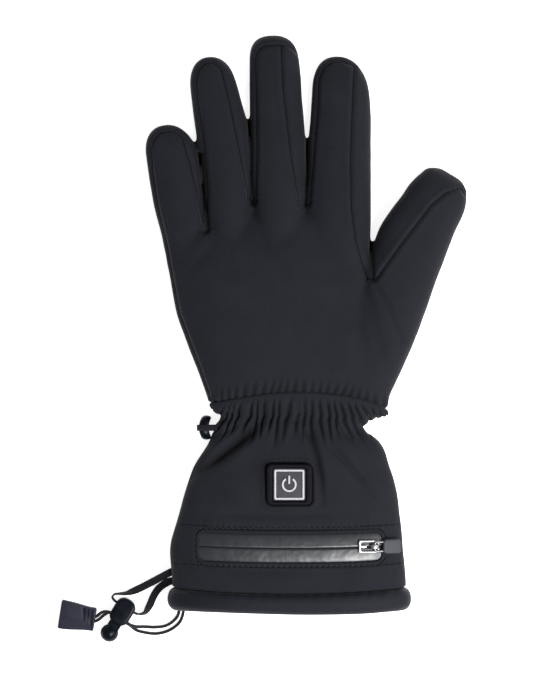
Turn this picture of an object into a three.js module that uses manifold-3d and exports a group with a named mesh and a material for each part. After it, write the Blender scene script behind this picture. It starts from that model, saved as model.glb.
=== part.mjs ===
// A left-hand heated gauntlet glove, lying flat on its palm with the back of the hand up.
// Millimetres. +X points to the thumb, +Y to the fingertips, +Z out of the back of the hand.
import * as THREE from 'three';
import { mergeVertices } from 'three/addons/utils/BufferGeometryUtils.js';
import Module from 'manifold-3d';

const wasm = await Module();
wasm.setup();

// Cloth and the small spaces between pieces
const wall = 2.5;
const gap = 0.3;

// The hand
const palmLength = 89.1;
const palmWidth = 110;
const palmThickness = 26;
const fingerLength = 90;
const fingerWidth = 28;
const fingerThickness = 19;
const thumbLength = 124;
const thumbWidth = 38;
const thumbThickness = 23;

// The wrist, where the hand is sewn to the cuff
const wristY = -39.5;
const wristWidth = 96.7;
const wristThickness = 22;

// The cuff and its gathers
const cuffLength = 99.6;
const cuffWidth = 123.7;
const cuffThickness = 28;
const pleatCount = 18;
const pleatDepth = 1.7;

// The rolled hem round the mouth
const hemDepth = 11.6;
const hemBulge = 2.4;
const hemBow = 2.4;

// The switch on the back of the cuff
const badgeX = -9.1;
const badgeBelowWrist = 44.6;
const badgeWidth = 24;
const badgeHeight = 21.6;
const badgeDepth = 3.2;
const badgeSink = 1;
const plateSide = 17.2;
const plateDepth = 1.9;
const frameSide = 15.8;
const frameLine = 1;
const printDepth = 0.4;
const markRadius = 3.4;
const markLine = 0.9;

// The zip of the battery pocket
const zipX = -8.6;
const zipBelowWrist = 77.3;
const zipLength = 95.4;
const zipHeight = 14.6;
const zipCorner = 3.2;
const zipSink = 1.4;
const tapeThickness = 0.8;

// The slider, its puller and the pull tab
const sliderFromEnd = 6.5;
const sliderLength = 11.2;
const sliderWidth = 7.2;
const sliderThickness = 1.6;
const bridgeWidth = 2.2;
const bridgeWall = 0.8;
const barRadius = 0.6;
const armSpan = 4.8;
const armReach = 5.6;
const tabLength = 10;
const tabWidth = 7.6;
const tabThickness = 2.8;
const tabGrip = 1.2;
const pullerDroop = 9;

// The clip at the wrist and the strap that holds it
const clipLength = 13;
const clipHeight = 11;
const clipWidth = 5;
const clipBar = 2.6;
const clipBelowWrist = 15.2;
const clipBase = 0.4;
const strapWidth = 4;
const strapThickness = 1;

// The cord lock with its spring button
const lockX = -97.6;
const lockY = -152.6;
const lockTurn = -121.7;
const lockLength = 15;
const lockWidth = 11;
const lockHeight = 8.6;
const buttonRadius = 4.8;
const buttonTravel = 2.5;
const plungerWidth = 6.8;
const plungerThickness = 5.8;

// The webbing loop, the thin elastic drawcord and the pull end on it
const webbingWidth = 4;
const webbingThickness = 1;
const cordDiameter = 1.7;
const cordSpacing = 2;
const pullLength = 19;
const pullWide = 15.6;
const pullNarrow = 12.4;
const pullThickness = 4.6;
const pullX = -121.8;
const pullY = -155.6;
const pullTurn = -9;
const pullRibs = 3;

// Sections of the palm from the wrist up. along is a share of palmLength. left and right are shares
// of the width and thick is a share of the thickness that run evenly from the wrist's to the palm's.
const palmSections = [
  { along: 0.00, left: -0.544, right: 0.456, thick: 1.00 },
  { along: 0.14, left: -0.578, right: 0.497, thick: 1.02 },
  { along: 0.29, left: -0.618, right: 0.460, thick: 1.04 },
  { along: 0.52, left: -0.667, right: 0.367, thick: 1.02 },
  { along: 0.71, left: -0.679, right: 0.339, thick: 0.98 },
  { along: 0.86, left: -0.691, right: 0.318, thick: 0.89 },
  { along: 0.95, left: -0.684, right: 0.310, thick: 0.81 },
  { along: 1.05, left: -0.500, right: 0.296, thick: 0.68 },
  { along: 1.13, left: -0.440, right: 0.270, thick: 0.50 },
];

// The little, ring, middle and index finger. across and up place the middle of each root, as shares
// of palmWidth and palmLength.
// long, wide and thick are shares of a finger's sizes, taper is the tip's width over the root's,
// blunt is how square the tip is, and lean is the angle towards the little finger in degrees.
const fingers = [
  { across: -0.592, up: 1.00, long: 0.632, wide: 0.90, thick: 0.88, taper: 0.90, blunt: 0.36, lean: 9.4 },
  { across: -0.373, up: 1.04, long: 0.986, wide: 1.03, thick: 0.97, taper: 0.86, blunt: 0.30, lean: 5.9 },
  { across: -0.134, up: 1.15, long: 0.998, wide: 1.04, thick: 1.00, taper: 0.90, blunt: 0.24, lean: 1.9 },
  { across: 0.153, up: 1.05, long: 0.974, wide: 1.20, thick: 1.00, taper: 0.88, blunt: 0.30, lean: -0.3 },
];

// The thumb's middle line from inside the palm to the tip. across and up are shares of palmWidth and
// thumbLength from the wrist's middle, wide and thick are shares of the thumb's sizes.
const thumbSections = [
  { across: 0.268, up: 0.102, wide: 0.92, thick: 0.90 },
  { across: 0.355, up: 0.295, wide: 0.98, thick: 1.00 },
  { across: 0.428, up: 0.487, wide: 1.02, thick: 1.01 },
  { across: 0.506, up: 0.668, wide: 1.01, thick: 0.98 },
  { across: 0.548, up: 0.740, wide: 0.96, thick: 0.95 },
  { across: 0.629, up: 0.866, wide: 0.85, thick: 0.86 },
  { across: 0.660, up: 0.918, wide: 0.71, thick: 0.74 },
  { across: 0.677, up: 0.940, wide: 0.60, thick: 0.62 },
  { across: 0.689, up: 0.958, wide: 0.34, thick: 0.44 },
];

// Sections of the cuff from the wrist down to the hem's seam, in the same columns as the palm's
const cuffSections = [
  { along: 0.000, left: -0.544, right: 0.456, thick: 1.00 },
  { along: 0.048, left: -0.512, right: 0.440, thick: 0.98 },
  { along: 0.085, left: -0.467, right: 0.392, thick: 0.90 },
  { along: 0.149, left: -0.484, right: 0.306, thick: 0.88 },
  { along: 0.223, left: -0.499, right: 0.376, thick: 0.95 },
  { along: 0.362, left: -0.561, right: 0.417, thick: 1.01 },
  { along: 0.431, left: -0.576, right: 0.430, thick: 1.03 },
  { along: 0.644, left: -0.600, right: 0.436, thick: 1.00 },
  { along: 0.761, left: -0.612, right: 0.435, thick: 0.99 },
  { along: 0.963, left: -0.578, right: 0.430, thick: 1.00 },
  { along: 1.000, left: -0.573, right: 0.427, thick: 1.00 },
];

// Folds in the back of the cuff, each a furrow between two places. across is a share of the half
// width there, along of cuffLength, deep of cuffThickness and broad of cuffWidth.
const cuffFolds = [
  { fromAcross: -0.42, fromAlong: 0.14, toAcross: -0.98, toAlong: 0.40, deep: 0.085, broad: 0.050 },
  { fromAcross: 0.02, fromAlong: 0.08, toAcross: 0.26, toAlong: 0.54, deep: 0.060, broad: 0.034 },
  { fromAcross: 0.39, fromAlong: 0.16, toAcross: 0.78, toAlong: 0.43, deep: 0.050, broad: 0.040 },
  { fromAcross: 0.60, fromAlong: 0.13, toAcross: 0.68, toAlong: 0.22, deep: 0.040, broad: 0.026 },
  { fromAcross: -0.70, fromAlong: 0.61, toAcross: 0.60, toAlong: 0.61, deep: 0.026, broad: 0.030 },
];

// How far the hem stands out, as a share of hemBulge, along its depth
const hemProfile = [
  { along: 0.00, out: 0.00 },
  { along: 0.12, out: 0.70 },
  { along: 0.40, out: 1.00 },
  { along: 0.75, out: 0.92 },
  { along: 1.00, out: 0.30 },
];

// Shape of every cloth section: how square it is above and below its side seam, and the seam's height
const squareAbove = 2.5;
const squareBelow = 3.4;
const seamShare = 0.42;
const floorOverlap = 1.6;

const DEG = Math.PI / 180;
const smooth = (low, high, value) => THREE.MathUtils.smoothstep(value, low, high);

// Solid helpers

// Turns a closed geometry into a solid that can be joined and cut
function solidOf(geometry) {
  const bare = geometry.clone();
  bare.deleteAttribute('normal');
  bare.deleteAttribute('uv');
  const merged = mergeVertices(bare, 1e-5);
  return new wasm.Manifold(new wasm.Mesh({
    numProp: 3,
    vertProperties: new Float32Array(merged.attributes.position.array),
    triVerts: new Uint32Array(merged.index.array),
  }));
}

function geometryOf(solid) {
  const mesh = solid.getMesh();
  const geometry = new THREE.BufferGeometry();
  geometry.setAttribute('position', new THREE.BufferAttribute(new Float32Array(mesh.vertProperties), 3));
  geometry.setIndex(new THREE.BufferAttribute(new Uint32Array(mesh.triVerts), 1));
  return geometry;
}

const joined = (solids) => solids.reduce((all, one) => all.add(one));

function middleOf(ring) {
  const middle = new THREE.Vector3();
  ring.forEach((point) => middle.add(point));
  return middle.divideScalar(ring.length);
}

// A closed body through rings of equally many points, with a fan over each end
function loft(rings) {
  const count = rings[0].length;
  const points = rings.flat();
  const first = points.push(middleOf(rings[0])) - 1;
  const last = points.push(middleOf(rings.at(-1))) - 1;
  const faces = [];
  for (let r = 0; r < rings.length - 1; r += 1) {
    for (let i = 0; i < count; i += 1) {
      const here = r * count + i;
      const next = r * count + (i + 1) % count;
      faces.push(here, next, next + count, here, next + count, here + count);
    }
  }
  const lastRing = (rings.length - 1) * count;
  for (let i = 0; i < count; i += 1) {
    const next = (i + 1) % count;
    faces.push(first, next, i, last, lastRing + i, lastRing + next);
  }
  const geometry = new THREE.BufferGeometry().setFromPoints(points);
  geometry.setIndex(faces);
  if (signedVolume(geometry) < 0) {
    geometry.setIndex(faces.reverse());
  }
  return geometry;
}

function signedVolume(geometry) {
  const { position } = geometry.attributes;
  const corner = (i) => new THREE.Vector3().fromBufferAttribute(position, geometry.index.getX(i));
  let sum = 0;
  for (let i = 0; i < geometry.index.count; i += 3) {
    sum += corner(i).dot(corner(i + 1).cross(corner(i + 2)));
  }
  return sum / 6;
}

function box(sizeX, sizeY, sizeZ, x = 0, y = 0, z = 0) {
  return solidOf(new THREE.BoxGeometry(sizeX, sizeY, sizeZ).translate(x, y, z));
}

// Keeps what lies above a height
function trimmedAt(solid, height) {
  const reach = 600;
  return solid.subtract(box(reach, reach, reach, 0, 0, height - reach / 2));
}

function roundedRectangle(width, height, radius) {
  const x = width / 2;
  const y = height / 2;
  const shape = new THREE.Shape();
  shape.moveTo(-x + radius, -y);
  shape.lineTo(x - radius, -y);
  shape.absarc(x - radius, -y + radius, radius, -Math.PI / 2, 0);
  shape.lineTo(x, y - radius);
  shape.absarc(x - radius, y - radius, radius, 0, Math.PI / 2);
  shape.lineTo(-x + radius, y);
  shape.absarc(-x + radius, y - radius, radius, Math.PI / 2, Math.PI);
  shape.lineTo(-x, -y + radius);
  shape.absarc(-x + radius, -y + radius, radius, Math.PI, 1.5 * Math.PI);
  return shape;
}

// An upright plate with its lower face at z = 0
function plate(shape, depth, curveSegments = 4) {
  return new THREE.ExtrudeGeometry(shape, { depth, bevelEnabled: false, curveSegments });
}

function flatPlate(width, height, radius, depth) {
  return solidOf(plate(roundedRectangle(width, height, radius), depth));
}

// Cloth sections

// The height above the side seam of a section's outline, from the share of the half width
function archOf(share, square) {
  return (1 - Math.min(1, Math.abs(share)) ** square) ** (1 / square);
}

// A ring of points round one cloth section. segments says how many steps it has above and below
// its side seams, across is the level direction of its width, inset draws it in from the outside
// by the cloth's thickness, and lift moves its upper side.
function sectionRing(station, segments, inset = 0, lift = () => 0) {
  const ring = [];
  const seam = station.thickness * seamShare;
  const half = station.half - inset;
  const count = segments.above + segments.below;
  for (let i = 0; i < count; i += 1) {
    const below = Math.max(0, i - segments.above);
    const angle = Math.PI * (Math.min(i, segments.above) / segments.above + below / segments.below);
    const [c, s] = [Math.cos(angle), Math.sin(angle)];
    const square = s >= 0 ? squareAbove : squareBelow;
    const reach = s >= 0 ? station.thickness - seam - inset : seam + floorOverlap - inset;
    const share = Math.sign(c) * Math.abs(c) ** (2 / square);
    const out = lift(share, Math.max(0, s), angle);
    const x = share * (half + out * Math.abs(c));
    const z = seam + Math.sign(s) * Math.abs(s) ** (2 / square) * (reach + out * Math.max(0, s));
    ring.push(new THREE.Vector3(
      station.x + station.across.x * x,
      station.y + station.across.y * x - (station.bow ?? 0) * (1 - share * share),
      z,
    ));
  }
  return ring;
}

// Reads a table of sections between its rows
function between(table, column, along) {
  const next = table.findIndex((row) => row.along >= along);
  if (next <= 0) {
    return (next === 0 ? table[0] : table.at(-1))[column];
  }
  const [low, high] = [table[next - 1], table[next]];
  const share = (along - low.along) / (high.along - low.along);
  return THREE.MathUtils.lerp(low[column], high[column], share);
}

const levelAcross = new THREE.Vector2(1, 0);

// One section of the palm or the cuff, square to the length
function bodyStation(table, along, y, endWidth, endThickness, bow = 0) {
  const width = THREE.MathUtils.lerp(wristWidth, endWidth, along);
  const left = between(table, 'left', along) * width;
  const right = between(table, 'right', along) * width;
  const evenThickness = THREE.MathUtils.lerp(wristThickness, endThickness, along);
  const thickness = evenThickness * between(table, 'thick', along);
  return { x: (left + right) / 2, y, half: (right - left) / 2, thickness, across: levelAcross, bow };
}

// The hand

const palmY = (along) => wristY + along * palmLength;
const cavityReach = 4;

function palmRings(segments, inset) {
  const rings = palmSections.map((row, index) => {
    const last = index === palmSections.length - 1;
    const y = palmY(row.along) + (index === 0 ? gap / 2 : 0) - (last ? inset : 0);
    const station = bodyStation(palmSections, row.along, y, palmWidth, palmThickness);
    return sectionRing(station, segments, inset);
  });
  if (inset > 0) {
    const start = bodyStation(palmSections, 0, wristY - cavityReach, palmWidth, palmThickness);
    rings.unshift(sectionRing(start, segments, inset));
  }
  return rings;
}

// Shares along a finger where its sections lie, from inside the palm to the tip
const fingerStops = [-0.2, 0, 0.25, 0.5, 0.7, 0.82, 0.91, 0.965, 1];
const tipFullness = 0.93;
const buriedShare = 0.74;
const boreStops = [-0.2, 0, 0.5, 0.75, 0.91, 1];

function fingerRings(finger, counts, inset) {
  const lean = finger.lean * DEG;
  const along = new THREE.Vector2(-Math.sin(lean), Math.cos(lean));
  const across = new THREE.Vector2(Math.cos(lean), Math.sin(lean));
  const length = finger.long * fingerLength - inset;
  const root = new THREE.Vector2(finger.across * palmWidth, palmY(finger.up));
  return counts.stops.map((stop) => {
    const place = root.clone().addScaledVector(along, stop * length);
    const tipShare = Math.max(0, (stop - 1 + finger.blunt) / finger.blunt);
    const rounding = (1 - (tipFullness * tipShare) ** 2.6) ** (1 / 2.6);
    const buried = stop < 0 ? buriedShare : 1;
    const taper = THREE.MathUtils.lerp(1, finger.taper, Math.max(0, stop) ** 2);
    const width = fingerWidth * finger.wide * taper;
    const flattening = THREE.MathUtils.lerp(1.1, 0.86, Math.max(0, stop));
    const thickness = fingerThickness * finger.thick * flattening;
    const station = {
      x: place.x,
      y: place.y,
      half: Math.max(inset + 1.5, (width / 2) * rounding * buried),
      thickness: Math.max(2 * inset + 3, thickness * THREE.MathUtils.lerp(0.35, 1, rounding) * buried),
      across,
    };
    return sectionRing(station, counts.finger, inset);
  });
}

function thumbRings(segments, inset) {
  const places = thumbSections.map((row) => new THREE.Vector2(
    row.across * palmWidth,
    wristY + row.up * thumbLength,
  ));
  return thumbSections.map((row, i) => {
    const before = places[Math.max(0, i - 1)];
    const after = places[Math.min(places.length - 1, i + 1)];
    const along = after.clone().sub(before).normalize();
    const nearTip = i >= thumbSections.length - 2;
    const place = places[i].clone().addScaledVector(along, nearTip ? -inset : 0);
    const station = {
      x: place.x,
      y: place.y,
      half: Math.max(inset + 1.5, (thumbWidth / 2) * row.wide),
      thickness: Math.max(2 * inset + 3, thumbThickness * row.thick),
      across: new THREE.Vector2(along.y, -along.x),
    };
    return sectionRing(station, segments, inset);
  });
}

function makeHand() {
  const outside = { palm: { above: 20, below: 6 }, finger: { above: 10, below: 6 }, stops: fingerStops };
  const inside = { palm: { above: 10, below: 6 }, finger: { above: 6, below: 4 }, stops: boreStops };
  const shape = (counts, inset) => joined([
    solidOf(loft(palmRings(counts.palm, inset))),
    ...fingers.map((finger) => solidOf(loft(fingerRings(finger, counts, inset)))),
    solidOf(loft(thumbRings(counts.finger, inset))),
  ]);
  const cavity = trimmedAt(shape(inside, wall), wall);
  return geometryOf(trimmedAt(shape(outside, 0), 0).subtract(cavity));
}

// The cuff

const cuffY = (along) => wristY - along * cuffLength;

function cuffStation(along, y = cuffY(along)) {
  return bodyStation(cuffSections, along, y, cuffWidth, cuffThickness, hemBow * along);
}

// How far the folds move the cuff's back at a place on it
function foldLift(across, along) {
  const halfWidth = cuffWidth / 2;
  let lift = 0;
  cuffFolds.forEach((fold) => {
    const from = new THREE.Vector2(fold.fromAcross * halfWidth, fold.fromAlong * cuffLength);
    const to = new THREE.Vector2(fold.toAcross * halfWidth, fold.toAlong * cuffLength);
    const here = new THREE.Vector2(across * halfWidth, along * cuffLength);
    const course = to.clone().sub(from);
    const share = THREE.MathUtils.clamp(here.clone().sub(from).dot(course) / course.lengthSq(), 0, 1);
    const off = here.distanceTo(from.addScaledVector(course, share)) / (fold.broad * cuffWidth);
    lift -= fold.deep * cuffThickness * (1 - 0.9 * off * off) * Math.exp(-off * off);
  });
  return lift;
}

// The gathers stand out between the wrist's seam and the free cloth below it
function pleatLift(angle, along) {
  const strength = smooth(0.01, 0.06, along) * (1 - smooth(0.12, 0.24, along));
  return pleatDepth * strength * (0.5 + 0.5 * Math.cos(2 * pleatCount * angle));
}

// The height of the cuff's back at a place in the level plane
function backHeight(x, y) {
  const along = (wristY - y) / cuffLength;
  const station = cuffStation(Math.min(1, along));
  const share = (x - station.x) / station.half;
  const seam = station.thickness * seamShare;
  const upright = Math.sqrt(Math.max(0, 1 - Math.abs(share) ** squareAbove));
  const lift = foldLift(share, along) * upright;
  return seam + archOf(share, squareAbove) * (station.thickness - seam + lift);
}

const cuffStops = [0, 0.03, 0.06, 0.09, 0.13, 0.18, 0.25, 0.33, 0.42, 0.52, 0.61, 0.7, 1];
const cavityStops = [-0.04, 0, 0.09, 0.18, 0.33, 0.61, 0.8, 1, 1.04];
const cuffSegments = { above: 4 * pleatCount, below: 8 };
const cavitySegments = { above: 20, below: 8 };
const hemSegments = { above: 24, below: 8 };

// The cuff's whole outer form, grown by a clearance where it cuts what meets it
function cuffForm(grown = 0) {
  const rings = cuffStops.map((along) => {
    const edge = along === 0 ? -gap / 2 : 0;
    const seamEdge = along === 1 ? gap / 2 : 0;
    const lift = (share, up, angle) => up * (foldLift(share, along) + pleatLift(angle, along));
    return sectionRing(cuffStation(along, cuffY(along) + edge + seamEdge), cuffSegments, -grown, lift);
  });
  return solidOf(loft(rings));
}

function makeCuff() {
  const inner = cavityStops.map((along) => {
    const station = cuffStation(THREE.MathUtils.clamp(along, 0, 1), cuffY(along));
    return sectionRing(station, cavitySegments, wall, (share, up) => up * foldLift(share, along));
  });
  const shell = trimmedAt(cuffForm(), 0).subtract(trimmedAt(solidOf(loft(inner)), wall));
  return shell.subtract(badgePocket()).subtract(zipRecess());
}

// A curved slab that follows the cuff's back, between two heights measured from it
function backSlab(x, y, width, height, low, high) {
  const columns = 12;
  const rows = 3;
  const rings = [];
  for (let i = 0; i <= columns; i += 1) {
    const placeX = x + width * (i / columns - 0.5);
    const ring = [];
    for (let j = 0; j <= rows; j += 1) {
      const placeY = y + height * (j / rows - 0.5);
      ring.push(new THREE.Vector3(placeX, placeY, backHeight(placeX, placeY) + low));
    }
    for (let j = rows; j >= 0; j -= 1) {
      const placeY = y + height * (j / rows - 0.5);
      ring.push(new THREE.Vector3(placeX, placeY, backHeight(placeX, placeY) + high));
    }
    rings.push(ring);
  }
  return solidOf(loft(rings));
}

// Hem

function hemRing(along, out) {
  const station = cuffStation(1, cuffY(1) - gap / 2 - along * hemDepth);
  const grown = { ...station, half: station.half + out, thickness: station.thickness + out };
  return sectionRing(grown, hemSegments);
}

function makeHem() {
  const outer = hemProfile.map((row) => hemRing(row.along, row.out * hemBulge));
  const cavity = [-0.3, 1.3].map((along) => hemRing(along, -wall));
  const band = trimmedAt(solidOf(loft(outer)), 0).subtract(trimmedAt(solidOf(loft(cavity)), wall));
  return band.subtract(cordExit());
}

// Switch

const badgeY = wristY - badgeBelowWrist;
const badgeFloor = backHeight(badgeX, badgeY) - badgeSink;
const badgeCorner = 3;

function badgePocket() {
  const pocket = flatPlate(badgeWidth + 2 * gap, badgeHeight + 2 * gap, badgeCorner + gap, cuffThickness);
  return pocket.translate(badgeX, badgeY, badgeFloor);
}

function makeBadgeSurround() {
  const rim = flatPlate(badgeWidth, badgeHeight, badgeCorner, badgeDepth);
  const window = flatPlate(plateSide + 2 * gap, plateSide + 2 * gap, 1, 3 * badgeDepth);
  return geometryOf(rim.subtract(window.translate(0, 0, -badgeDepth)));
}

function makeBadgePlate() {
  return plate(roundedRectangle(plateSide, plateSide, 0.8), plateDepth);
}

function makeBadgeFrame() {
  const inside = frameSide - 2 * frameLine;
  const window = flatPlate(inside, inside, 0.5, 4 * printDepth).translate(0, 0, -printDepth);
  return geometryOf(flatPlate(frameSide, frameSide, 0.9, printDepth).subtract(window));
}

// A power symbol: an open ring with a bar in its opening
function makePowerRing() {
  const openHalf = 32 * DEG;
  const outline = new THREE.Shape();
  outline.absarc(0, 0, markRadius + markLine / 2, Math.PI / 2 + openHalf, 2.5 * Math.PI - openHalf);
  outline.absarc(0, 0, markRadius - markLine / 2, 2.5 * Math.PI - openHalf, Math.PI / 2 + openHalf, true);
  return plate(outline, printDepth, 14);
}

function makePowerBar() {
  const outline = roundedRectangle(markLine, markRadius + markLine, markLine / 3);
  return plate(outline, printDepth, 2).translate(0, markRadius * 0.75, 0);
}

// Zip

const zipY = wristY - zipBelowWrist;

function zipOutline(shrink) {
  const [length, height] = [zipLength - 2 * shrink, zipHeight - 2 * shrink];
  const prism = flatPlate(length, height, zipCorner - shrink, 3 * cuffThickness);
  return prism.translate(zipX, zipY, -cuffThickness);
}

function zipRecess() {
  return backSlab(zipX, zipY, zipLength + 4, zipHeight + 4, -zipSink, 3 * zipSink).intersect(zipOutline(0));
}

// One half of the tape; side is 1 above the zip's line and -1 below it
function makeTape(side) {
  const low = gap - zipSink;
  const slab = backSlab(zipX, zipY, zipLength, zipHeight, low, low + tapeThickness)
    .intersect(zipOutline(gap));
  const otherY = zipY - side * (zipHeight / 2 - gap / 2);
  return geometryOf(slab.subtract(box(2 * zipLength, zipHeight, 4 * cuffThickness, zipX, otherY)));
}

// The slider's frame: it lies on the tapes near the zip's right end, tilted with the cloth there
const sliderX = zipX + zipLength / 2 - sliderFromEnd;
const sliderSlope = Math.atan2(
  backHeight(sliderX - sliderLength / 2, zipY) - backHeight(sliderX + sliderLength / 2, zipY),
  sliderLength,
);
const sliderLift = gap - zipSink + tapeThickness + gap;
const tunnelHeight = 2 * (barRadius + gap);
const bridgeLength = tunnelHeight + 2 * bridgeWall;
const bridgeAt = sliderLength / 2 - bridgeLength / 2 - 1;
const barHeight = sliderThickness + tunnelHeight / 2;

function makeSlider() {
  const base = solidOf(plate(roundedRectangle(sliderLength, sliderWidth, 2.2), sliderThickness));
  const bridgeHeight = tunnelHeight + bridgeWall;
  const sunk = 0.2;
  const archZ = sliderThickness + (bridgeHeight - sunk) / 2;
  const arch = box(bridgeLength, bridgeWidth, bridgeHeight + sunk, bridgeAt, 0, archZ);
  const tunnelZ = sliderThickness + tunnelHeight / 2;
  const tunnel = box(tunnelHeight, 2 * bridgeWidth, tunnelHeight, bridgeAt, 0, tunnelZ);
  return geometryOf(base.add(arch.subtract(tunnel)));
}

// A rod of the puller's wire between two points of its level plane
function rod(fromX, fromY, toX, toY) {
  const from = new THREE.Vector3(fromX, fromY, 0);
  const to = new THREE.Vector3(toX, toY, 0);
  const geometry = new THREE.CylinderGeometry(barRadius, barRadius, from.distanceTo(to), 8);
  const turn = new THREE.Quaternion().setFromUnitVectors(
    new THREE.Vector3(0, 1, 0),
    to.clone().sub(from).normalize(),
  );
  return solidOf(geometry.applyQuaternion(turn).translate(...from.add(to).divideScalar(2).toArray()));
}

// A wire loop through the bridge, about the bar that turns in the tunnel
function makePuller() {
  const half = armSpan / 2;
  const over = barRadius * 0.7;
  return geometryOf(joined([
    rod(0, -half - over, 0, half + over),
    rod(0, half, armReach, half),
    rod(0, -half, armReach, -half),
    rod(armReach, -half - over, armReach, half + over),
  ]));
}

// The tab is moulded on the far end of the wire loop, which sits in a pocket in its end
function makeTab() {
  const tab = flatPlate(tabLength, tabWidth, 1.6, tabThickness);
  const pocketHeight = 2 * (barRadius + gap);
  const pocketDepth = tabGrip + barRadius + gap;
  const pocketWidth = armSpan + pocketHeight;
  const pocket = box(2 * pocketDepth, pocketWidth, pocketHeight, -tabLength / 2, 0, tabThickness / 2);
  const tabX = armReach - tabGrip + tabLength / 2;
  return geometryOf(tab.subtract(pocket).translate(tabX, 0, -tabThickness / 2));
}

// Wrist clip and its strap

const clipY = wristY - clipBelowWrist;
const clipSide = cuffStation((wristY - clipY + clipLength / 2) / cuffLength);
const clipX = clipSide.x - clipSide.half - pleatDepth / 2 - clipWidth / 2;
const clipMiddle = clipBase + clipHeight / 2;

// An upright oval ring beside the wrist
function makeClip() {
  const bevel = clipBar / 4;
  const corner = clipLength * 0.42;
  const outline = roundedRectangle(clipLength - 2 * bevel, clipHeight - 2 * bevel, corner - bevel);
  const disc = solidOf(new THREE.ExtrudeGeometry(outline, {
    depth: clipWidth - 2 * bevel,
    bevelEnabled: true,
    bevelSize: bevel,
    bevelThickness: bevel,
    bevelSegments: 1,
    curveSegments: 4,
  }).translate(0, 0, bevel - clipWidth / 2));
  const [holeLength, holeHeight] = [clipLength - 2 * clipBar, clipHeight - 2 * clipBar];
  const hole = flatPlate(holeLength, holeHeight, corner - clipBar, 2 * clipWidth);
  const ring = geometryOf(disc.subtract(hole.translate(0, 0, -clipWidth)));
  return ring.rotateX(Math.PI / 2).rotateZ(Math.PI / 2);
}

// The strap is folded round the clip's upper bar and its two ends meet the wrist's side
function makeClipStrap() {
  const inner = clipBar / 2 + 3 * gap;
  const barZ = clipMiddle + clipHeight / 2 - clipBar / 2;
  const reach = 4 * clipWidth;
  const outline = new THREE.Shape();
  const round = clipWidth / 2 + 4 * gap;
  outline.moveTo(reach, inner + strapThickness);
  outline.lineTo(0, inner + strapThickness);
  outline.absellipse(0, 0, round + strapThickness, inner + strapThickness, Math.PI / 2, 1.5 * Math.PI);
  outline.lineTo(reach, -inner - strapThickness);
  outline.lineTo(reach, -inner);
  outline.lineTo(0, -inner);
  outline.absellipse(0, 0, round, inner, 1.5 * Math.PI, Math.PI / 2, true);
  outline.lineTo(reach, inner);
  const settings = { depth: strapWidth, bevelEnabled: false, curveSegments: 6 };
  const geometry = new THREE.ExtrudeGeometry(outline, settings);
  geometry.translate(0, 0, -strapWidth / 2).rotateX(Math.PI / 2);
  return geometryOf(solidOf(geometry.translate(clipX, clipY, barZ)).subtract(cuffForm(gap)));
}

// Cord lock. Its frame has +X along its axis towards the button and +Y across it.

const lockMiddle = lockHeight / 2;
const cordHole = { along: 4, length: cordDiameter + 2 * gap, height: cordSpacing + cordDiameter + 2 * gap };
const loopSlot = { along: -2.8, length: webbingThickness + 2 * gap, height: webbingWidth + 2 * gap };
const boreEnd = loopSlot.along + loopSlot.length / 2 + 1;
const plungerStart = boreEnd + gap + buttonTravel;
const ballFlat = lockLength / 2 + gap + buttonTravel;
const ballMiddle = ballFlat + buttonRadius * 0.62;

function makeLockBody() {
  const bevel = 1.4;
  const outline = roundedRectangle(lockLength - 2 * bevel, lockWidth - 2 * bevel, lockWidth * 0.45 - bevel);
  const shell = solidOf(new THREE.ExtrudeGeometry(outline, {
    depth: lockHeight - 2 * bevel,
    bevelEnabled: true,
    bevelSize: bevel,
    bevelThickness: bevel,
    bevelSegments: 1,
    curveSegments: 4,
  }).translate(0, 0, bevel));
  const boreLength = lockLength;
  const bore = box(
    boreLength, plungerWidth + 2 * gap, plungerThickness + 2 * gap, boreEnd + boreLength / 2, 0, lockMiddle,
  );
  const across = 2 * lockWidth;
  const forCords = box(cordHole.length, across, cordHole.height, cordHole.along, 0, lockMiddle);
  const forLoop = box(loopSlot.length, across, loopSlot.height, loopSlot.along, 0, lockMiddle);
  return geometryOf(shell.subtract(bore).subtract(forCords).subtract(forLoop));
}

// The button's round head with the plunger that slides in the body and lets the cords through
function makeButton() {
  const sphere = new THREE.SphereGeometry(buttonRadius, 14, 9);
  const ball = solidOf(sphere.translate(ballMiddle, 0, buttonRadius));
  const wide = 4 * buttonRadius;
  const head = ball.subtract(box(2 * buttonRadius, wide, wide, ballFlat - buttonRadius, 0, 0));
  const length = ballMiddle - plungerStart;
  const plunger = box(length, plungerWidth, plungerThickness, plungerStart + length / 2, 0, lockMiddle);
  const windowLength = cordHole.length + buttonTravel;
  const windowX = cordHole.along + buttonTravel / 2;
  const window = box(windowLength, 2 * plungerWidth, cordHole.height, windowX, 0, lockMiddle);
  return geometryOf(head.add(plunger).subtract(window));
}

// Cords and webbing. Their routes are chosen points, in millimetres.

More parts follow.
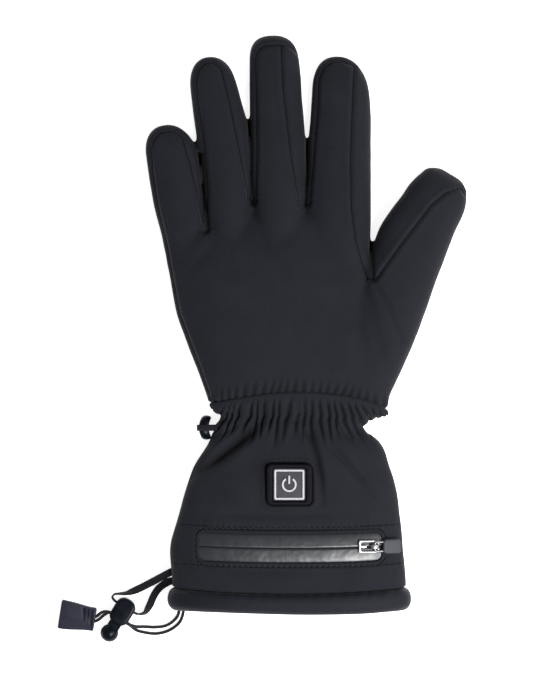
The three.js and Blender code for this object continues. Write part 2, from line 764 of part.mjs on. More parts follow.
// Middle of the webbing from the cuff's side, round through the lock's slot and back. edge is 1
// where the tape stands on its edge and 0 where it lies flat.
const webbingRoute = [
  { x: -69.0, y: -130.0, z: 9.4, edge: 0 },
  { x: -71.6, y: -131.2, z: 8.6, edge: 0 },
  { x: -76.6, y: -134.0, z: 5.0, edge: 0 },
  { x: -83.0, y: -137.6, z: 1.6, edge: 0 },
  { x: -90.0, y: -141.1, z: 1.5, edge: 0.15 },
  { x: -95.6, y: -143.0, z: 2.9, edge: 0.8 },
  { x: -99.8, y: -143.2, z: 4.0, edge: 1 },
  { x: -102.0, y: -143.4, z: 4.3, edge: 1 },
  { x: -103.1, y: -144.7, z: 4.3, edge: 1 },
  { x: -102.2, y: -146.4, z: 4.3, edge: 1 },
  { x: -99.2, y: -148.28, z: 4.3, edge: 1 },
  { x: -96.13, y: -150.22, z: 4.3, edge: 1 },
  { x: -93.0, y: -152.15, z: 4.3, edge: 1 },
  { x: -90.2, y: -153.8, z: 4.2, edge: 1 },
  { x: -86.6, y: -153.6, z: 3.4, edge: 0.8 },
  { x: -83.4, y: -149.6, z: 1.7, edge: 0.2 },
  { x: -81.4, y: -145.0, z: 1.5, edge: 0 },
  { x: -78.6, y: -140.6, z: 2.2, edge: 0 },
  { x: -75.4, y: -138.0, z: 4.4, edge: 0 },
  { x: -71.9, y: -136.2, z: 6.8, edge: 0 },
  { x: -69.2, y: -135.8, z: 8.0, edge: 0 },
];

// Middles of the two strands of the drawcord from the hem's hole, through the lock, to the pull end
const innerRoute = [
  [-67.5, -149.6, 4.2], [-67.7, -152.8, 4.0], [-70.2, -157.4, 1.4], [-74.2, -160.2, 1.0],
  [-80.2, -161.2, 1.0], [-86.4, -160.9, 1.6], [-91.0, -160.6, 4.0], [-94.6, -159.2, 5.3],
  [-97.15, -157.58, 5.3], [-99.7, -156.0, 5.3], [-102.25, -154.42, 5.3], [-105.0, -152.8, 5.1],
  [-108.6, -153.0, 3.8], [-111.8, -155.3, 2.5], [-116.1, -155.5, 2.4],
];
const outerRoute = [
  [-65.2, -149.6, 4.2], [-65.4, -153.0, 4.0], [-67.6, -158.8, 1.4], [-72.4, -162.6, 1.0],
  [-79.4, -164.6, 1.0], [-86.0, -164.0, 1.1], [-90.6, -162.6, 1.9], [-93.2, -160.4, 3.1],
  [-94.9, -159.0, 3.3], [-97.15, -157.58, 3.3], [-99.7, -156.0, 3.3], [-102.25, -154.42, 3.3],
  [-104.6, -153.1, 3.1], [-107.6, -154.6, 2.4], [-110.4, -157.0, 2.3], [-112.8, -158.0, 2.4],
  [-116.4, -157.5, 2.4],
];

// A tape that follows the route, with its corners as a closed loft
function makeWebbing() {
  const places = new THREE.CatmullRomCurve3(webbingRoute.map(({ x, y, z }) => new THREE.Vector3(x, y, z)));
  const steps = 2 * (webbingRoute.length - 1);
  const rings = [];
  for (let i = 0; i <= steps; i += 1) {
    const share = i / steps;
    const row = Math.min(webbingRoute.length - 2, Math.floor(share * (webbingRoute.length - 1)));
    const part = share * (webbingRoute.length - 1) - row;
    const edge = THREE.MathUtils.lerp(webbingRoute[row].edge, webbingRoute[row + 1].edge, part);
    const middle = places.getPoint(share);
    const course = places.getTangent(share).normalize();
    const level = new THREE.Vector3(-course.y, course.x, 0).normalize();
    const upright = new THREE.Vector3().crossVectors(course, level).normalize();
    const turn = edge * Math.PI / 2;
    const wide = level.clone().multiplyScalar(Math.cos(turn)).addScaledVector(upright, Math.sin(turn));
    const thin = new THREE.Vector3().crossVectors(course, wide).normalize();
    const corner = (w, t) => middle.clone()
      .addScaledVector(wide, w * webbingWidth / 2)
      .addScaledVector(thin, t * webbingThickness / 2);
    rings.push([corner(1, 1), corner(-1, 1), corner(-1, -1), corner(1, -1)]);
  }
  return geometryOf(solidOf(loft(rings)).subtract(cuffForm(gap)));
}

function makeCord(route) {
  const curve = new THREE.CatmullRomCurve3(route.map((point) => new THREE.Vector3(...point)));
  const section = new THREE.Shape();
  section.absarc(0, 0, cordDiameter / 2, 0, 2 * Math.PI);
  return new THREE.ExtrudeGeometry(section, { steps: 18, extrudePath: curve, curveSegments: 4 });
}

// The hole in the hem's end that the drawcord comes out of
const exitHole = {
  x: -66.35,
  z: 4.2,
  width: cordSpacing + cordDiameter + 2 * gap,
  height: cordDiameter + 2 * gap,
  depth: 3.6,
};

function cordExit() {
  const hemEnd = cuffY(1) - gap / 2 - hemDepth;
  return box(exitHole.width, 2 * exitHole.depth, exitHole.height, exitHole.x, hemEnd, exitHole.z);
}

// The pull end on the drawcord: a wedge with ribs, and a pocket for the cords' ends
function makePull() {
  const [long, wide, narrow] = [pullLength / 2, pullWide / 2, pullNarrow / 2];
  const outline = new THREE.Shape([
    new THREE.Vector2(-long, -wide),
    new THREE.Vector2(long, -narrow),
    new THREE.Vector2(long, narrow),
    new THREE.Vector2(-long, wide),
  ]);
  let solid = solidOf(plate(outline, pullThickness));
  for (let rib = 0; rib < pullRibs; rib += 1) {
    const x = pullLength * (0.36 - 0.11 * rib);
    solid = solid.subtract(box(0.7, 0.86 * pullNarrow, 0.8, x, 0, pullThickness));
  }
  const pocketWidth = 2 * cordSpacing + cordDiameter;
  const pocket = box(9, pocketWidth, cordDiameter + 2 * gap, long, 0, pullThickness / 2 + 0.1);
  return geometryOf(solid.subtract(pocket));
}

// The assembly

const cloth = { color: 0x2a2b31, roughness: 0.9, metalness: 0 };
const finishes = {
  shell: cloth,
  hem: { color: 0x252935, roughness: 0.8, metalness: 0 },
  rubber: { color: 0x121317, roughness: 0.6, metalness: 0 },
  face: { color: 0x55565b, roughness: 0.55, metalness: 0 },
  print: { color: 0xd8d9dc, roughness: 0.5, metalness: 0 },
  tape: { color: 0x1c1e24, roughness: 0.25, metalness: 0 },
  metal: { color: 0xb9bcc2, roughness: 0.3, metalness: 1 },
  pull: { color: 0x676b76, roughness: 0.6, metalness: 0 },
  plastic: { color: 0x17191f, roughness: 0.5, metalness: 0 },
  webbing: { color: 0x1f2026, roughness: 0.9, metalness: 0 },
  cord: { color: 0x1b1b20, roughness: 0.85, metalness: 0 },
};

const glove = new THREE.Group();
const body = new THREE.Group();
const cords = new THREE.Group();
glove.add(body, cords);

function add(name, geometry, finish, parent = body) {
  const mesh = new THREE.Mesh(geometry, new THREE.MeshStandardMaterial(finishes[finish]));
  mesh.name = name;
  parent.add(mesh);
  return mesh;
}

add('hand', makeHand(), 'shell');
add('gauntlet', geometryOf(makeCuff()), 'shell');
add('hem_roll', geometryOf(makeHem()), 'hem');

const badge = new THREE.Group();
badge.position.set(badgeX, badgeY, badgeFloor + gap);
body.add(badge);
add('badge_surround', makeBadgeSurround(), 'rubber', badge);
add('badge_plate', makeBadgePlate(), 'face', badge);
const printZ = plateDepth + gap;
add('badge_frame', makeBadgeFrame(), 'print', badge).position.z = printZ;
add('badge_mark_ring', makePowerRing(), 'print', badge).position.z = printZ;
add('badge_mark_bar', makePowerBar(), 'print', badge).position.z = printZ;

add('zip_tape_upper', makeTape(1), 'tape');
add('zip_tape_lower', makeTape(-1), 'tape');
const zip = new THREE.Group();
zip.position.set(sliderX, zipY, backHeight(sliderX, zipY) + sliderLift);
zip.rotation.y = sliderSlope;
body.add(zip);
add('zip_slider', makeSlider(), 'metal', zip);
const puller = new THREE.Group();
puller.position.set(bridgeAt, 0, barHeight);
puller.rotation.y = pullerDroop * DEG;
zip.add(puller);
add('zip_puller', makePuller(), 'metal', puller);
add('pull_tab', makeTab(), 'pull', puller);

const clip = add('wrist_clip', makeClip(), 'plastic');
clip.position.set(clipX, clipY, clipMiddle);
add('clip_strap', makeClipStrap(), 'webbing');

const lock = new THREE.Group();
lock.position.set(lockX, lockY, 0);
lock.rotation.z = lockTurn * DEG;
cords.add(lock);
add('cord_lock', makeLockBody(), 'plastic', lock);
add('lock_button', makeButton(), 'plastic', lock);
add('lock_loop', makeWebbing(), 'webbing', cords);
add('drawcord_inner', makeCord(innerRoute), 'cord', cords);
add('drawcord_outer', makeCord(outerRoute), 'cord', cords);
const pull = add('cord_pull', makePull(), 'pull', cords);
pull.position.set(pullX, pullY, 0);
pull.rotation.z = pullTurn * DEG;

// The origin is the bottom middle of the glove's box, its cords left out
const extent = new THREE.Box3().setFromObject(body, true);
const middle = extent.getCenter(new THREE.Vector3());
glove.position.set(-middle.x, -middle.y, -extent.min.z);

export default glove;
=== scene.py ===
# A left-hand heated gauntlet glove of black softshell, lying flat on a pale floor and seen from
# straight above. Sizes and places here are in millimetres: +X points to the thumb, +Y to the
# fingertips and +Z out of the back of the hand. When a mesh is made, its points are moved to the
# model's own origin, which is at ORIGIN here, and turned into metres.
import math

import bpy
import numpy as np
from mathutils import Matrix, Vector, noise
from mathutils.bvhtree import BVHTree


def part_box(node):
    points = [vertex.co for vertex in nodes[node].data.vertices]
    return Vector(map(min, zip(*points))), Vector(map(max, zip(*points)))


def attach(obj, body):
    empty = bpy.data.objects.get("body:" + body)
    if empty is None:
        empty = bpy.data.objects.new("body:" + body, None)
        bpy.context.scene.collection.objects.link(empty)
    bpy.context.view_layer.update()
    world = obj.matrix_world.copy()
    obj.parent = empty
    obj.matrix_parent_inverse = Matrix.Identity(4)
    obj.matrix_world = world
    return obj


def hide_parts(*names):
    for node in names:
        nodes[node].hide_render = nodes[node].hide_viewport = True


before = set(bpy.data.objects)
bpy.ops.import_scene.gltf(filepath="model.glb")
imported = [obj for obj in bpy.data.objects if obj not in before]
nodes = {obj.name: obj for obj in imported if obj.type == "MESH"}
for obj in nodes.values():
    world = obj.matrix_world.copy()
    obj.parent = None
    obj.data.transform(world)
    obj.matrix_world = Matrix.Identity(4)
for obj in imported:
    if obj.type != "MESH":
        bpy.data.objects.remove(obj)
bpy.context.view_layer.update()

MM = 0.001
BODY = "glove"

# The model's origin, as a place among the ones below
ORIGIN = np.array([1.166, 0.55, 0.0])

# The picture's frame, on the level of the glove's side seams
VIEW_X = -16.25
VIEW_Y = -6.99
VIEW_HEIGHT = 359.3
VIEW_LEVEL = 10.0
CAMERA_HEIGHT = 1700.0
SENSOR = 36.0
FLOOR_REACH = 4000.0

# The hand
WRIST_Y = -38.8
PALM_LENGTH = 89.1
PALM_WIDTH = 110.0
PALM_THICKNESS = 26.0
FINGER_THICKNESS = 19.0
FINGER_SIDES = 64
THUMB_WIDTH = 38.0
THUMB_THICKNESS = 23.0
WRIST_WIDTH = 96.7
WRIST_THICKNESS = 22.0
MIDDLE_X = 0.87

# The cuff, its hem and the cloth
CUFF_LENGTH = 99.6
CUFF_WIDTH = 123.7
CUFF_THICKNESS = 28.0
HEM_DEPTH = 11.9
HEM_BULGE = 2.6
HEM_BOW = 2.6
CLOTH = 2.0
PINCH = 0.105
PLEAT_PITCH = 4.3
PLEAT_DEPTH = 1.7
SQUARE_ABOVE = 2.5
SQUARE_BELOW = 3.4
SEAM_SHARE = 0.42
FLOOR_OVERLAP = 1.6
TOP_TUCK = 1.4

# How far the cloth and the hem's band stay above the floor
CLEAR = 0.15
HEM_CLEAR = 0.12

# The switch and the zip on the cuff's back
BADGE_X = -8.2
BADGE_Y = -83.4
BADGE_WIDTH = 24.6
BADGE_HEIGHT = 22.2
BADGE_CORNER = 3.2
ZIP_X = -7.7
ZIP_Y = -116.1
ZIP_LENGTH = 95.4
ZIP_HEIGHT = 14.6
ZIP_CORNER = 3.2
ZIP_SINK = 1.4
WELT_LINE = 2.4
TAPE_TUCKED = 0.6
TAPE_THICKNESS = 0.6

# The sewing's lines over and under the zip, and the thread: its pitch, half length and radius
STITCH_ROWS = (-105.1, -125.7)
STITCH_PITCH = 2.9
STITCH_REACH = 1.05
STITCH_RADIUS = 0.27

# Cords
DRAWCORD = 1.7
DRAWCORD_SIDES = 14
WEBBING_WIDTH = 4.0
WEBBING_THICKNESS = 1.0

# Sections of the palm from the wrist up: share of the palm's length, left and right edges as shares
# of its width, and thickness
PALM_ROWS = [
    (-0.10, -0.520, 0.452, 0.96),
    (0.00, -0.544, 0.456, 1.00),
    (0.14, -0.578, 0.497, 1.02),
    (0.29, -0.618, 0.460, 1.04),
    (0.52, -0.667, 0.367, 1.02),
    (0.71, -0.679, 0.339, 0.98),
    (0.86, -0.691, 0.318, 0.89),
    (0.95, -0.684, 0.310, 0.81),
    (1.05, -0.500, 0.296, 0.68),
    (1.13, -0.440, 0.270, 0.50),
]

# Fingers: root x and y, lean towards the little finger in degrees, length, thickness over
# FINGER_THICKNESS, how much of the length rounds to the tip, and the edges left and right of the
# middle line at places along it
FINGERS = {
    "little": dict(
        root=(-64.2, 50.3), lean=9.4, length=57.4, thick=0.88, blunt=0.27, square=2.35,
        edges=[
            (-15, -11.0, 11.6), (-5, -11.7, 12.2), (19, -13.4, 13.6), (32, -13.5, 14.6), (45, -13.2, 13.2),
            (57, -13.0, 10.4),
        ],
    ),
    "ring": dict(
        root=(-40.1, 54.0), lean=5.95, length=89.4, thick=0.97, blunt=0.18, square=2.35,
        edges=[
            (-20, -12.0, 12.0), (0, -11.9, 12.9), (32, -12.0, 14.6), (46, -12.3, 15.8), (66, -12.9, 13.1),
            (78, -13.0, 11.1), (89, -13.0, 9.8),
        ],
    ),
    "middle": dict(
        root=(-13.9, 64.0), lean=1.86, length=90.0, thick=1.0, blunt=0.14, square=2.7,
        edges=[
            (-22, -14.0, 13.8), (0, -14.0, 14.1), (30, -14.0, 15.5), (56, -13.6, 14.6), (77, -12.9, 13.4),
            (90, -12.6, 11.6),
        ],
    ),
    "index": dict(
        root=(17.7, 55.0), lean=-0.34, length=87.9, thick=1.0, blunt=0.225, square=2.35,
        edges=[
            (-20, -17.0, 16.6), (0, -17.4, 17.4), (9, -17.4, 17.4), (39, -16.1, 17.3), (60, -14.8, 17.1),
            (76, -14.2, 15.4), (88, -15.0, 13.4),
        ],
    ),
}

# The thumb's middle line: x, y, and its width and thickness over the thumb's
THUMB_ROWS = [
    (31.0, -26.4, 0.93, 0.90),
    (40.5, -2.5, 0.98, 1.00),
    (48.5, 21.3, 1.02, 1.01),
    (53.2, 33.5, 1.00, 1.00),
    (57.1, 43.7, 1.01, 0.98),
    (61.7, 52.6, 0.96, 0.95),
    (66.6, 61.0, 0.89, 0.90),
    (70.7, 68.3, 0.85, 0.86),
    (74.1, 74.7, 0.72, 0.74),
    (76.2, 78.1, 0.60, 0.60),
    (77.6, 80.4, 0.36, 0.42),
]

# Sections of the cuff from the wrist down to the hem's seam, in the same columns as the palm's
CUFF_ROWS = [
    (0.000, -0.544, 0.456, 1.00),
    (0.048, -0.512, 0.440, 0.98),
    (0.085, -0.467, 0.392, 0.90),
    (0.149, -0.484, 0.306, 0.88),
    (0.223, -0.499, 0.376, 0.95),
    (0.362, -0.561, 0.417, 1.01),
    (0.431, -0.576, 0.430, 1.03),
    (0.644, -0.600, 0.436, 1.00),
    (0.761, -0.612, 0.435, 0.99),
    (0.963, -0.578, 0.430, 1.00),
    (1.000, -0.573, 0.427, 1.00),
]

# The seam between hand and cuff arches over the wrist: x and y
WRIST_SEAM = [(-52, -41.4), (-36, -38.0), (-21.5, -35.6), (14, -35.6), (31.5, -38.8), (45, -44.6)]

# Seams on the back of the hand, as x and y along each
SEAMS = {
    "little": [
        (-50.2, -37.2), (-59.2, -12.8), (-66.4, 7.3), (-72.8, 41.2), (-77.9, 64.0), (-80.9, 82.6),
        (-81.4, 93.2), (-79.6, 99.0), (-76.4, 102.3), (-71.9, 103.2), (-67.7, 102.0), (-65.0, 99.5),
        (-60.8, 86.3), (-56.5, 67.7), (-52.8, 50.3),
    ],
    "ring": [
        (-51.8, 50.3), (-51.6, 72.0), (-54.0, 101.1), (-56.6, 119.7), (-57.4, 129.2), (-56.0, 135.0),
        (-52.8, 138.7), (-48.6, 139.2), (-44.2, 135.6), (-39.6, 117.0), (-34.8, 93.2), (-29.6, 66.7),
    ],
    "middle": [
        (-26.2, 64.6), (-25.6, 93.2), (-26.0, 119.7), (-26.4, 140.9), (-25.0, 145.4), (-21.5, 148.0),
        (-12.5, 148.6), (-12.0, 135.6), (-11.5, 125.0), (-7.8, 93.2), (-3.0, 65.1),
    ],
    "cap": [(-12.5, 148.6), (-7.8, 147.7), (-2.6, 143.4)],
    "index": [
        (2.4, 64.0), (4.6, 93.2), (6.3, 114.4), (7.3, 130.3), (9.8, 136.0), (14.0, 139.2), (19.8, 139.8),
        (26.2, 137.6), (25.1, 114.4), (24.0, 87.9), (24.6, 61.4), (26.7, 45.5), (32.8, 24.8),
    ],
    "thumb": [(84.6, 69.9), (82.4, 72.8), (74.4, 70.2), (66.4, 63.4), (50.5, 42.8), (36.8, 23.8)],
}

# Where two fingers touch, as x and y from the end of the gap down to the crotch
CREASES = [
    [(-55.5, 91.0), (-54.9, 84.2), (-53.3, 66.7), (-51.8, 50.3)],
    [(-29.3, 108.0), (-29.0, 101.1), (-28.4, 82.6), (-27.9, 64.6)],
    [(1.6, 100.5), (1.5, 93.7), (1.2, 77.3), (0.2, 64.0)],
    [(35.6, 50.0), (35.2, 46.0), (35.2, 34.9), (35.7, 24.8)],
]

# Soft furrows in the palm: from x, y to x, y, depth and breadth
PALM_FURROWS = [
    (38.0, 20.0, 51.0, -8.0, 0.7, 2.4),
    (34.0, 12.0, 40.0, -14.0, 0.4, 3.6),
    (-60.0, 30.0, -48.0, 44.0, 0.3, 3.4),
    (-20.0, 40.0, -27.0, 60.0, 0.35, 2.6),
]

# Folds in the back of the cuff: their points, as x and y, and then depth and breadth
CUFF_FOLDS = [
    ([(-21.5, -48.5), (-30.0, -56.5), (-44.0, -67.5), (-60.0, -79.5)], 3.6, 4.4),
    ([(-30.0, -50.6), (-46.0, -57.0), (-58.0, -64.0)], 1.1, 2.6),
    ([(-36.0, -54.0), (-62.0, -70.0)], 0.7, 2.4),
    ([(-1.5, -48.5), (2.6, -58.0), (5.6, -68.0), (8.0, -80.0), (8.6, -93.0)], 2.3, 2.6),
    ([(10.5, -60.0), (22.0, -72.0), (36.0, -89.0)], 1.4, 2.4),
    ([(16.1, -52.6), (27.1, -62.5)], 1.4, 2.2),
    ([(-14.0, -50.0), (-17.0, -66.0)], 0.8, 3.0),
    ([(25.0, -56.0), (42.0, -72.0)], 0.8, 3.0),
    ([(-52.0, -98.4), (-12.0, -99.2), (30.0, -98.6)], 0.8, 3.4),
    ([(-52.0, -128.0), (20.0, -129.0)], 0.5, 3.2),
]

# The webbing's middle line from the cuff's side round through the lock and back: x, y, z, and 1
# where the tape stands on its edge or 0 where it lies flat
WEBBING_ROUTE = [
    (-69.0, -130.0, 9.4, 0.0), (-71.6, -131.2, 8.6, 0.0), (-76.6, -134.0, 5.0, 0.0),
    (-83.0, -137.6, 1.6, 0.0), (-90.0, -141.1, 1.5, 0.15), (-95.6, -143.0, 2.9, 0.8),
    (-99.8, -143.2, 4.0, 1.0), (-102.0, -143.4, 4.3, 1.0), (-103.1, -144.7, 4.3, 1.0),
    (-102.2, -146.4, 4.3, 1.0), (-99.2, -148.28, 4.3, 1.0), (-96.13, -150.22, 4.3, 1.0),
    (-93.0, -152.15, 4.3, 1.0), (-90.2, -153.8, 4.2, 1.0), (-86.6, -153.6, 3.4, 0.8),
    (-83.4, -149.6, 1.7, 0.2), (-81.4, -145.0, 1.5, 0.0), (-78.6, -140.6, 2.2, 0.0),
    (-75.4, -138.0, 4.4, 0.0), (-71.9, -136.2, 6.8, 0.0), (-69.2, -135.8, 8.0, 0.0),
]

# The two strands of the drawcord from the hem's hole, through the lock, to the pull end
INNER_ROUTE = [
    (-67.5, -149.6, 4.2), (-67.7, -152.8, 4.0), (-70.2, -157.4, 1.4), (-74.2, -160.2, 1.0),
    (-80.2, -161.2, 1.0), (-86.4, -160.9, 1.6), (-91.0, -160.6, 4.0), (-94.6, -159.2, 5.3),
    (-97.15, -157.58, 5.3), (-99.7, -156.0, 5.3), (-102.25, -154.42, 5.3), (-105.0, -152.8, 5.1),
    (-108.6, -153.0, 3.8), (-111.8, -155.3, 2.5), (-116.1, -155.5, 2.4),
]
OUTER_ROUTE = [
    (-65.2, -149.6, 4.2), (-65.4, -153.0, 4.0), (-67.6, -158.8, 1.4), (-72.4, -162.6, 1.0),
    (-79.4, -164.6, 1.0), (-86.0, -164.0, 1.1), (-90.6, -162.6, 1.9), (-93.2, -160.4, 3.1),
    (-94.9, -159.0, 3.3), (-97.15, -157.58, 3.3), (-99.7, -156.0, 3.3), (-102.25, -154.42, 3.3),
    (-104.6, -153.1, 3.1), (-107.6, -154.6, 2.4), (-110.4, -157.0, 2.3), (-112.8, -158.0, 2.4),
    (-116.4, -157.5, 2.4),
]

# How far the three cords' routes stand from the places above
ROUTE_SHIFT = (0.868, 0.697, 0.0)

# How finely the hand's skin and its lining are melted, the lowest that a crease between fingers
# goes, and the angle from which a hard piece's edge stays sharp
SKIN_VOXEL = 0.95
LINING_VOXEL = 2.2
CREASE_FLOOR = 2.4
SHARP_ANGLE = 35

# The lock's, the slider's, the puller's and the pull end's own places, and their turns in degrees
LOCK_AT = (-96.73, -151.9, 0.0)
LOCK_TURN = -121.7
SLIDER_AT = (33.47, -116.10, 23.51)
SLIDER_TILT = 11.4
PULLER_AT = (36.81, -116.10, 25.39)
PULLER_TILT = 20.4
PULL_AT = (-120.93, -154.9, 0.0)
PULL_TURN = -9.0

# The cord lock and its button's ball, and where the bridge stands on the slider
LOCK_LENGTH = 15
LOCK_WIDTH = 11
LOCK_HEIGHT = 8.6
LOCK_BEVEL = 1.5
LOCK_MIDDLE = 4.3
BALL_RADIUS = 4.8
BALL_MIDDLE = 13.276
SLIDER_BRIDGE = 2.9

# The clip's ring: its length, height and bar, how far its ends bow to the hand, and its tape
CLIP_LENGTH = 13
CLIP_HEIGHT = 11
CLIP_BAR = 2.6
CLIP_BOW = 1.5
CLIP_TAPE = 3.2
CLIP_TAPE_THICKNESS = 0.95

# Colours
SOFTSHELL = (0.0072, 0.0078, 0.0110)
LINING = (0.012, 0.012, 0.014)
HEM = (0.0026, 0.0034, 0.0068)
THREAD = (0.010, 0.010, 0.013)
RUBBER = (0.003, 0.003, 0.005)
SWITCH_FACE = (0.031, 0.031, 0.037)
SWITCH_PRINT = (0.38, 0.38, 0.40)
LAMINATE = (0.007, 0.008, 0.011)
METAL = (0.27, 0.27, 0.28)
TAB_RUBBER = (0.022, 0.024, 0.032)
PULL_RUBBER = (0.010, 0.011, 0.020)
PLASTIC = (0.0018, 0.0028, 0.0055)
WEBBING = (0.005, 0.005, 0.007)
ELASTIC = (0.008, 0.0075, 0.010)


# Small helpers for numbers


def smooth(low, high, value):
    """0 below low, 1 above high, and an even curve between."""
    t = np.clip((value - low) / (high - low), 0, 1)
    return t * t * (3 - 2 * t)


def eased(xs, ys, x):
    """A curve without corners through the points xs, ys."""
    xs = np.asarray(xs, float)
    ys = np.asarray(ys, float)
    slopes = np.gradient(ys, xs)
    at = np.clip(np.searchsorted(xs, x) - 1, 0, len(xs) - 2)
    span = xs[at + 1] - xs[at]
    t = np.clip((x - xs[at]) / span, 0, 1)
    return (
        ys[at] * (1 + 2 * t) * (1 - t) ** 2
        + slopes[at] * span * t * (1 - t) ** 2
        + ys[at + 1] * t * t * (3 - 2 * t)
        + slopes[at + 1] * span * t * t * (t - 1)
    )


def column(rows, index):
    return [row[index] for row in rows]


def reach_along(points):
    """How far along a line of points each of them is."""
    return np.concatenate([[0], np.cumsum(np.linalg.norm(np.diff(points, axis=0), axis=1))])


def line_distance(points, line):
    """Distance from each point to a line of points, how far along it the nearest place is, and the
    side: 1 on the right of the line's course and -1 on the left."""
    best = np.full(len(points), 1e9)
    run = np.zeros(len(points))
    side = np.ones(len(points))
    start = 0.0
    for a, b in zip(line[:-1], line[1:]):
        a = np.asarray(a, float)
        course = np.asarray(b, float) - a
        length = np.hypot(*course)
        off = points - a
        t = np.clip(off @ course / length**2, 0, 1)
        gap = np.hypot(*(off - t[:, None] * course).T)
        nearer = gap < best
        best = np.where(nearer, gap, best)
        run = np.where(nearer, start + t * length, run)
        side = np.where(nearer, np.sign(off[:, 0] * course[1] - off[:, 1] * course[0]), side)
        start += length
    return best, run, side


def box_distance(x, y, half_x, half_y, corner):
    """Signed distance to a rounded rectangle's outline, negative inside."""
    qx = np.abs(x) - half_x + corner
    qy = np.abs(y) - half_y + corner
    outside = np.hypot(np.maximum(qx, 0), np.maximum(qy, 0))
    return outside + np.minimum(np.maximum(qx, qy), 0) - corner


def grain(points, size, seed=0.0):
    """Smooth noise from -1 to 1 at each point, with lumps of about that size."""
    return np.array([noise.noise(Vector(p) / size + Vector((seed, 0, 0))) for p in points])


# Meshes


def mesh_object(name, points, faces, attributes=None):
    mesh = bpy.data.meshes.new(name)
    mesh.from_pydata(((np.asarray(points) - ORIGIN) * MM).tolist(), [], faces)
    mesh.validate()
    mesh.shade_smooth()
    for key, values in (attributes or {}).items():
        data = mesh.attributes.new(key, "FLOAT", "POINT")
        data.data.foreach_set("value", np.asarray(values, np.float32))
    made = bpy.data.objects.new(name, mesh)
    bpy.context.scene.collection.objects.link(made)
    return made


def node_box(name):
    """A CAD node's lowest and highest corners, from the same origin as the places here."""
    return [np.array(corner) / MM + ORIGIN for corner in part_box(name)]


def dress(made, look, replaced=(), body=BODY):
    """Gives a piece its material, hides the CAD parts that it stands in for and hangs it on its body's
    empty.
    """
    made.data.materials.clear()
    made.data.materials.append(look)
    if replaced:
        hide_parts(*replaced)
    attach(made, body)
    return made


def grid_faces(rows, columns, closed=True, start=0, flip=False):
    """Quads between rows of points; closed joins each row's end to its start."""
    faces = []
    for r in range(rows - 1):
        for c in range(columns if closed else columns - 1):
            here = start + r * columns + c
            next_one = start + r * columns + (c + 1) % columns
            quad = (here, next_one, next_one + columns, here + columns)
            faces.append(quad[::-1] if flip else quad)
    return faces


def fans(rows, columns, start=0, flip=False):
    """Closes both ends of a tube of rows with one face each."""
    first = tuple(range(start, start + columns))
    last = tuple(range(start + (rows - 1) * columns, start + rows * columns))
    return [first, last[::-1]] if flip else [first[::-1], last]


def tube(rings):
    """Points and faces of a closed body through rings of equally many points."""
    rings = np.asarray(rings)
    rows, columns = rings.shape[:2]
    faces = grid_faces(rows, columns) + fans(rows, columns)
    return rings.reshape(-1, 3), faces


# The hand


def section(half, thickness, angle, square=SQUARE_ABOVE, inset=0.0):
    """Across and up of a cloth section round its side seams, at angles from the right side up."""
    c = np.cos(angle)
    s = np.sin(angle)
    power = np.where(s >= 0, square, SQUARE_BELOW)
    seam = thickness * SEAM_SHARE
    reach = np.where(s >= 0, thickness - seam, seam + FLOOR_OVERLAP) - inset
    across = np.sign(c) * np.abs(c) ** (2 / power) * (half - inset)
    up = seam + np.sign(s) * np.abs(s) ** (2 / power) * reach
    return across, up


def palm_rings(inset):
    angle = np.linspace(0, 2 * math.pi, 96, endpoint=False)
    rings = []
    for along in np.linspace(-0.10, 1.13, 60):
        width = WRIST_WIDTH + max(0, along) * (PALM_WIDTH - WRIST_WIDTH)
        thickness = WRIST_THICKNESS + max(0, along) * (PALM_THICKNESS - WRIST_THICKNESS)
        left, right, thick = (eased(column(PALM_ROWS, 0), column(PALM_ROWS, i), along) for i in (1, 2, 3))
        across, up = section((right - left) * width / 2, thickness * thick, angle, inset=inset)
        x = MIDDLE_X + (left + right) * width / 2 + across
        rings.append(np.column_stack([x, np.full_like(x, WRIST_Y + along * PALM_LENGTH), up]))
    return rings


def finger_rings(finger, inset):
    angle = np.linspace(0, 2 * math.pi, FINGER_SIDES, endpoint=False)
    lean = math.radians(finger["lean"])
    along = np.array([-math.sin(lean), math.cos(lean)])
    across = np.array([math.cos(lean), math.sin(lean)])
    length = finger["length"] - inset
    edges = finger["edges"]
    stops = list(np.linspace(edges[0][0] / length, 1 - finger["blunt"], 36))
    stops += list(1 - finger["blunt"] * (1 - np.sin(np.linspace(0.08, 1, 16) * math.pi / 2)))
    rings = []
    for stop in stops:
        tip = max(0.0, (stop - 1 + finger["blunt"]) / finger["blunt"])
        rounding = max(0.0, 1 - (0.992 * tip) ** finger["square"]) ** (1 / finger["square"])
        left = eased(column(edges, 0), column(edges, 1), stop * length)
        right = eased(column(edges, 0), column(edges, 2), stop * length)
        half = max(inset + 0.8, (right - left) / 2 * rounding)
        thickness = FINGER_THICKNESS * finger["thick"] * (1.1 - 0.24 * max(0, stop))
        thickness *= 0.42 + 0.58 * rounding
        off, up = section(half, max(2 * inset + 1.5, thickness), angle, 2.3, inset)
        place = np.array(finger["root"]) + along * stop * length + across * (left + right) / 2
        flat = place + off[:, None] * across
        rings.append(np.column_stack([flat, up]))
    return rings


